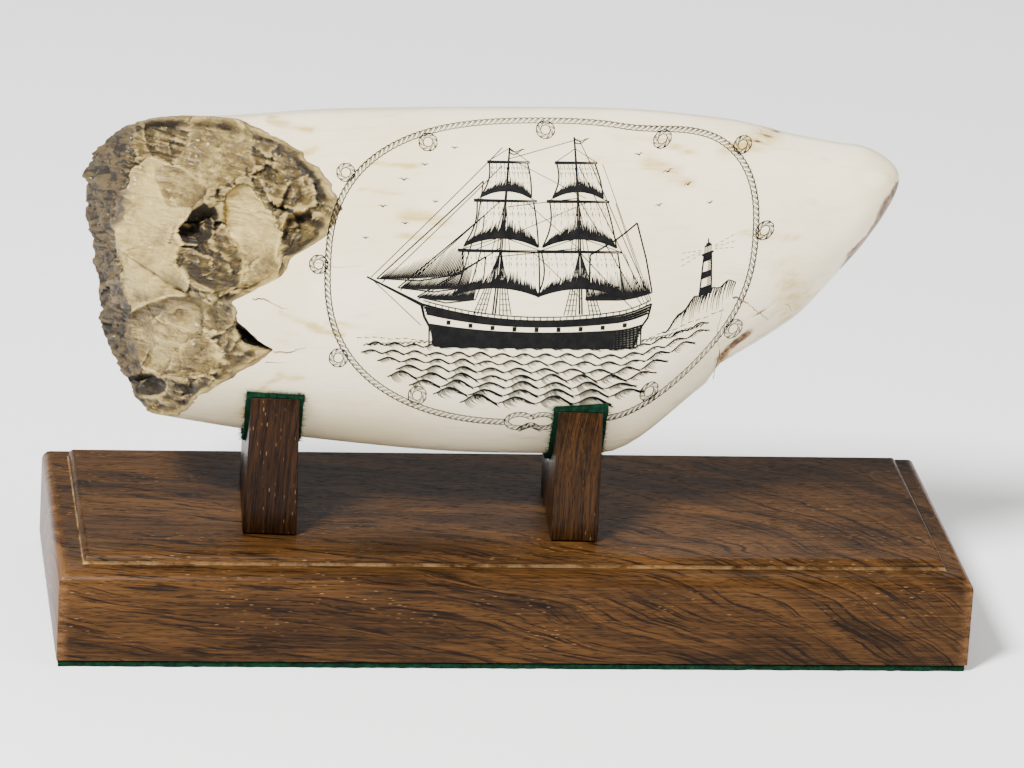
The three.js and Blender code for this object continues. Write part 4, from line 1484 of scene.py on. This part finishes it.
class IvorySettings(bpy.types.PropertyGroup):
    """Sizes and colours of the tooth"""
    rim_step: length_setting("Rim step", "Drop of the broken face inside its rim", 1.3)
    cut_depth: length_setting("Cut depth", "Depth of the engraved lines", 0.09)
    line_weight: bpy.props.FloatProperty(
        name="Line weight", description="Width of the engraved lines, times the drawn one",
        subtype="FACTOR", min=0.1, max=2, default=1.72)
    cream: colour_setting("Cream", "Polished ivory", (0.85, 0.745, 0.52))
    cream_shadow: colour_setting("Cream, darker", "Clouds in the ivory", (0.76, 0.645, 0.40))
    streak: colour_setting("Streak", "Faint growth streaks", (0.62, 0.44, 0.19))
    raw_pale: colour_setting("Raw, pale", "Fresh broken dentine", (0.43, 0.320, 0.108))
    # Pale colour of the splinter edges, also used as a painted highlight on the raised parts of the
    # break
    raw_tan: colour_setting("Raw, tan", "Aged broken dentine", (0.137, 0.090, 0.023))
    raw_edge_and_highlight: colour_setting("Raw edge", "Edges of the splinters", (0.68, 0.50, 0.18))
    stain: colour_setting("Stain", "Yellow stains in the ivory", (0.54, 0.385, 0.125))
    worn_dark: colour_setting("Worn edge, dark", "Depths of the chipped tip", (0.060, 0.026, 0.009))
    worn_pale: colour_setting("Worn edge, pale", "Heights of the chipped tip", (0.26, 0.135, 0.045))
    # Dark colour for dirt, and for the painted shade in the break's hollows and pits
    soil_and_shade: colour_setting("Soil", "Dirt in the hollows", (0.028, 0.018, 0.006))
    crust_dark: colour_setting("Crust, dark", "Depths of the root's crust", (0.020, 0.015, 0.008))
    ink: colour_setting("Ink", "Ink rubbed into the cuts", (0.0022, 0.0022, 0.0026))
    ink_worn: colour_setting("Ink, worn", "Thin ink in shallow cuts", (0.0085, 0.0080, 0.0075))
    crust_pale: colour_setting("Crust, pale", "Heights of the root's crust", (0.135, 0.090, 0.032))


class WoodSettings(bpy.types.PropertyGroup):
    """Sizes and colours of the rosewood"""
    board_edge: length_setting("Board edge", "Rounding of the board's corners", 0.25)
    cradle_edge: length_setting("Cradle edge", "Worn rounding of the cradles", 1.0)
    heart: colour_setting("Heart", "Dark ground of the wood", (0.0125, 0.0054, 0.0019))
    warm: colour_setting("Warm", "Light part of the figure", (0.084, 0.0365, 0.0095))
    streak: colour_setting("Streak", "Near-black streaks", (0.0038, 0.0018, 0.0010))
    pore: colour_setting("Pore", "Open pores", (0.0024, 0.0012, 0.0008))
    end_dark: colour_setting("End grain, dark", "Pores of the end grain", (0.022, 0.009, 0.0035))
    end_pale: colour_setting("End grain, pale", "Pale end grain", (0.17, 0.080, 0.030))
    # Tint of the painted shade on the cradles' wood
    aged_and_painted_shade: colour_setting("Aged", "Tint of the cradles' aged wood", (0.36, 0.32, 0.36))
    wax: colour_setting("Wax", "Pale wax left in the groove", (0.34, 0.215, 0.10))
    fleck: colour_setting("Fleck", "Pale filler in the pores", (0.26, 0.155, 0.070))


class FeltSettings(bpy.types.PropertyGroup):
    """Size and colours of the felt"""
    fibre: length_setting("Fibre", "Usual length of the fuzz on a cut edge", 0.6)
    deep: colour_setting("Deep green", "Depth of the felt", (0.0012, 0.008, 0.004))
    green: colour_setting("Green", "Felt", (0.003, 0.030, 0.013))
    pale: colour_setting("Lint", "Pale lint", (0.05, 0.10, 0.06))


class StageSettings(bpy.types.PropertyGroup):
    """Floor, lights and camera"""
    floor_size: bpy.props.FloatProperty(name="Floor size", description="Side of the floor",
                                        default=8, min=1, unit="LENGTH")
    lens: bpy.props.FloatProperty(name="Lens", description="Focal length of the camera",
                                  default=221.7, min=10, unit="CAMERA")
    floor: colour_setting("Floor", "Pale floor", (0.93, 0.93, 0.93))
    key: bpy.props.FloatProperty(name="Main light", description="Power of the main light",
                                 default=63, min=0, unit="POWER")


class WHALETOOTH_OT_stage(bpy.types.Operator):
    """Sets up the pale floor, the soft lights and the camera"""
    bl_idname = "whale_tooth.stage"
    bl_label = "Floor, Lights and Camera"

    def execute(self, context):
        settings = context.scene.whale_tooth_stage
        bpy.ops.object.select_all(action="DESELECT")
        bpy.ops.mesh.primitive_plane_add(size=settings.floor_size)
        floor = context.object
        floor.name = "floor"
        f = Finish("pale_floor")
        tone = f.noise(f.place, 3, 2).ramp(0.3, 0.7)
        colour = f.colour_mix(tone * 0.04, settings.floor, (0.85, 0.85, 0.86))
        floor.data.materials.append(f.fill(Base_Color=colour, Roughness=0.9))
        for name, place, size, share in LIGHTS:
            add_light(name, place, size, settings.key * share)
        world = bpy.data.worlds.new("soft_room")
        world.use_nodes = True
        room = world.node_tree.nodes["Background"]
        room.inputs[0].default_value = ROOM_COLOUR
        room.inputs[1].default_value = ROOM_LIGHT
        context.scene.world = world
        lens = bpy.data.cameras.new("camera")
        lens.lens = settings.lens
        lens.sensor_width = SENSOR_WIDTH
        lens.clip_end = CLIP_END
        camera = bpy.data.objects.new("camera", lens)
        context.scene.collection.objects.link(camera)
        turn = Matrix((VIEW_RIGHT, VIEW_UP, -VIEW_AHEAD)).transposed().to_4x4()
        camera.matrix_world = Matrix.Translation(Vector(CAMERA_PLACE) * MM) @ turn
        context.scene.camera = camera
        return {"FINISHED"}


def add_light(name, place, size, power):
    light = bpy.data.lights.new(name, "AREA")
    light.shape = "DISK"
    light.size = size
    light.energy = power
    lamp = bpy.data.objects.new(name, light)
    bpy.context.scene.collection.objects.link(lamp)
    lamp.location = place
    aim = Vector(LIGHT_AIM) - Vector(place)
    lamp.rotation_euler = aim.to_track_quat("-Z", "Y").to_euler()


def settle(piece, node, material):
    """Hands a finished piece to the frame: its body, its finish and the node it stands for."""
    piece.data.materials.clear()
    piece.data.materials.append(material)
    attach(piece, "root")
    if node:
        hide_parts(node)


class WHALETOOTH_OT_tooth(bpy.types.Operator):
    """Models the tooth with its broken root"""
    bl_idname = "whale_tooth.tooth"
    bl_label = "Tooth"

    def execute(self, context):
        settings = context.scene.whale_tooth_ivory
        piece = model_tooth(settings)
        settle(piece, "tooth", ivory_finish(settings))
        return {"FINISHED"}


class WHALETOOTH_OT_engraving(bpy.types.Operator):
    """Cuts the inked picture into the front of the tooth"""
    bl_idname = "whale_tooth.engraving"
    bl_label = "Engraving"

    def execute(self, context):
        settings = context.scene.whale_tooth_ivory
        settle(model_engraving(settings), None, ink_finish(settings))
        settle(model_hairlines(settings), None, crack_finish(settings))
        return {"FINISHED"}


class WHALETOOTH_OT_stand(bpy.types.Operator):
    """Finishes the board, the cradles and their felt"""
    bl_idname = "whale_tooth.stand"
    bl_label = "Stand"

    def execute(self, context):
        wood = context.scene.whale_tooth_wood
        board = rosewood_finish("board_rosewood", wood, BOARD_GRAIN)
        # The cradles' wood is darkened with painted shade, the left one most
        upright = rosewood_finish("cradle_rosewood", wood, CRADLE_GRAIN,
                                  (0, math.radians(90), 0), CRADLE_PAINTED_SHADE)
        wool = context.scene.whale_tooth_felt
        felt = felt_finish(wool)
        settle(model_board(wood), "base_board", board)
        settle(model_base_felt(wool), "base_felt", felt)
        for number, cradle in enumerate(CRADLES):
            settle(model_cradle(cradle, wood), cradle["name"], upright)
            strip = model_cradle_felt(cradle, wool, 31 + 10 * number)
            settle(strip, cradle["name"] + "_felt", felt)
        return {"FINISHED"}


class WHALETOOTH_PT_panel(bpy.types.Panel):
    """Lists the pieces of the whale tooth"""
    bl_label = "Engraved Whale Tooth"
    bl_idname = "WHALETOOTH_PT_panel"
    bl_space_type = "VIEW_3D"
    bl_region_type = "UI"
    bl_category = "Whale Tooth"

    def draw(self, context):
        for operator in STEPS:
            self.layout.operator(operator.bl_idname)


GROUPS = {
    "whale_tooth_ivory": IvorySettings,
    "whale_tooth_wood": WoodSettings,
    "whale_tooth_felt": FeltSettings,
    "whale_tooth_stage": StageSettings,
}
STEPS = (WHALETOOTH_OT_stage, WHALETOOTH_OT_tooth, WHALETOOTH_OT_engraving, WHALETOOTH_OT_stand)


def register():
    for group in GROUPS.values():
        bpy.utils.register_class(group)
    for name, group in GROUPS.items():
        setattr(bpy.types.Scene, name, bpy.props.PointerProperty(type=group))
    for step in (*STEPS, WHALETOOTH_PT_panel):
        bpy.utils.register_class(step)


def unregister():
    for step in reversed((*STEPS, WHALETOOTH_PT_panel)):
        bpy.utils.unregister_class(step)
    for name in GROUPS:
        delattr(bpy.types.Scene, name)
    for group in reversed(list(GROUPS.values())):
        bpy.utils.unregister_class(group)


def main():
    register()
    bpy.ops.whale_tooth.stage()
    bpy.ops.whale_tooth.tooth()
    bpy.ops.whale_tooth.engraving()
    bpy.ops.whale_tooth.stand()
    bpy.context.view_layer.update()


if __name__ == "__main__":
    main()
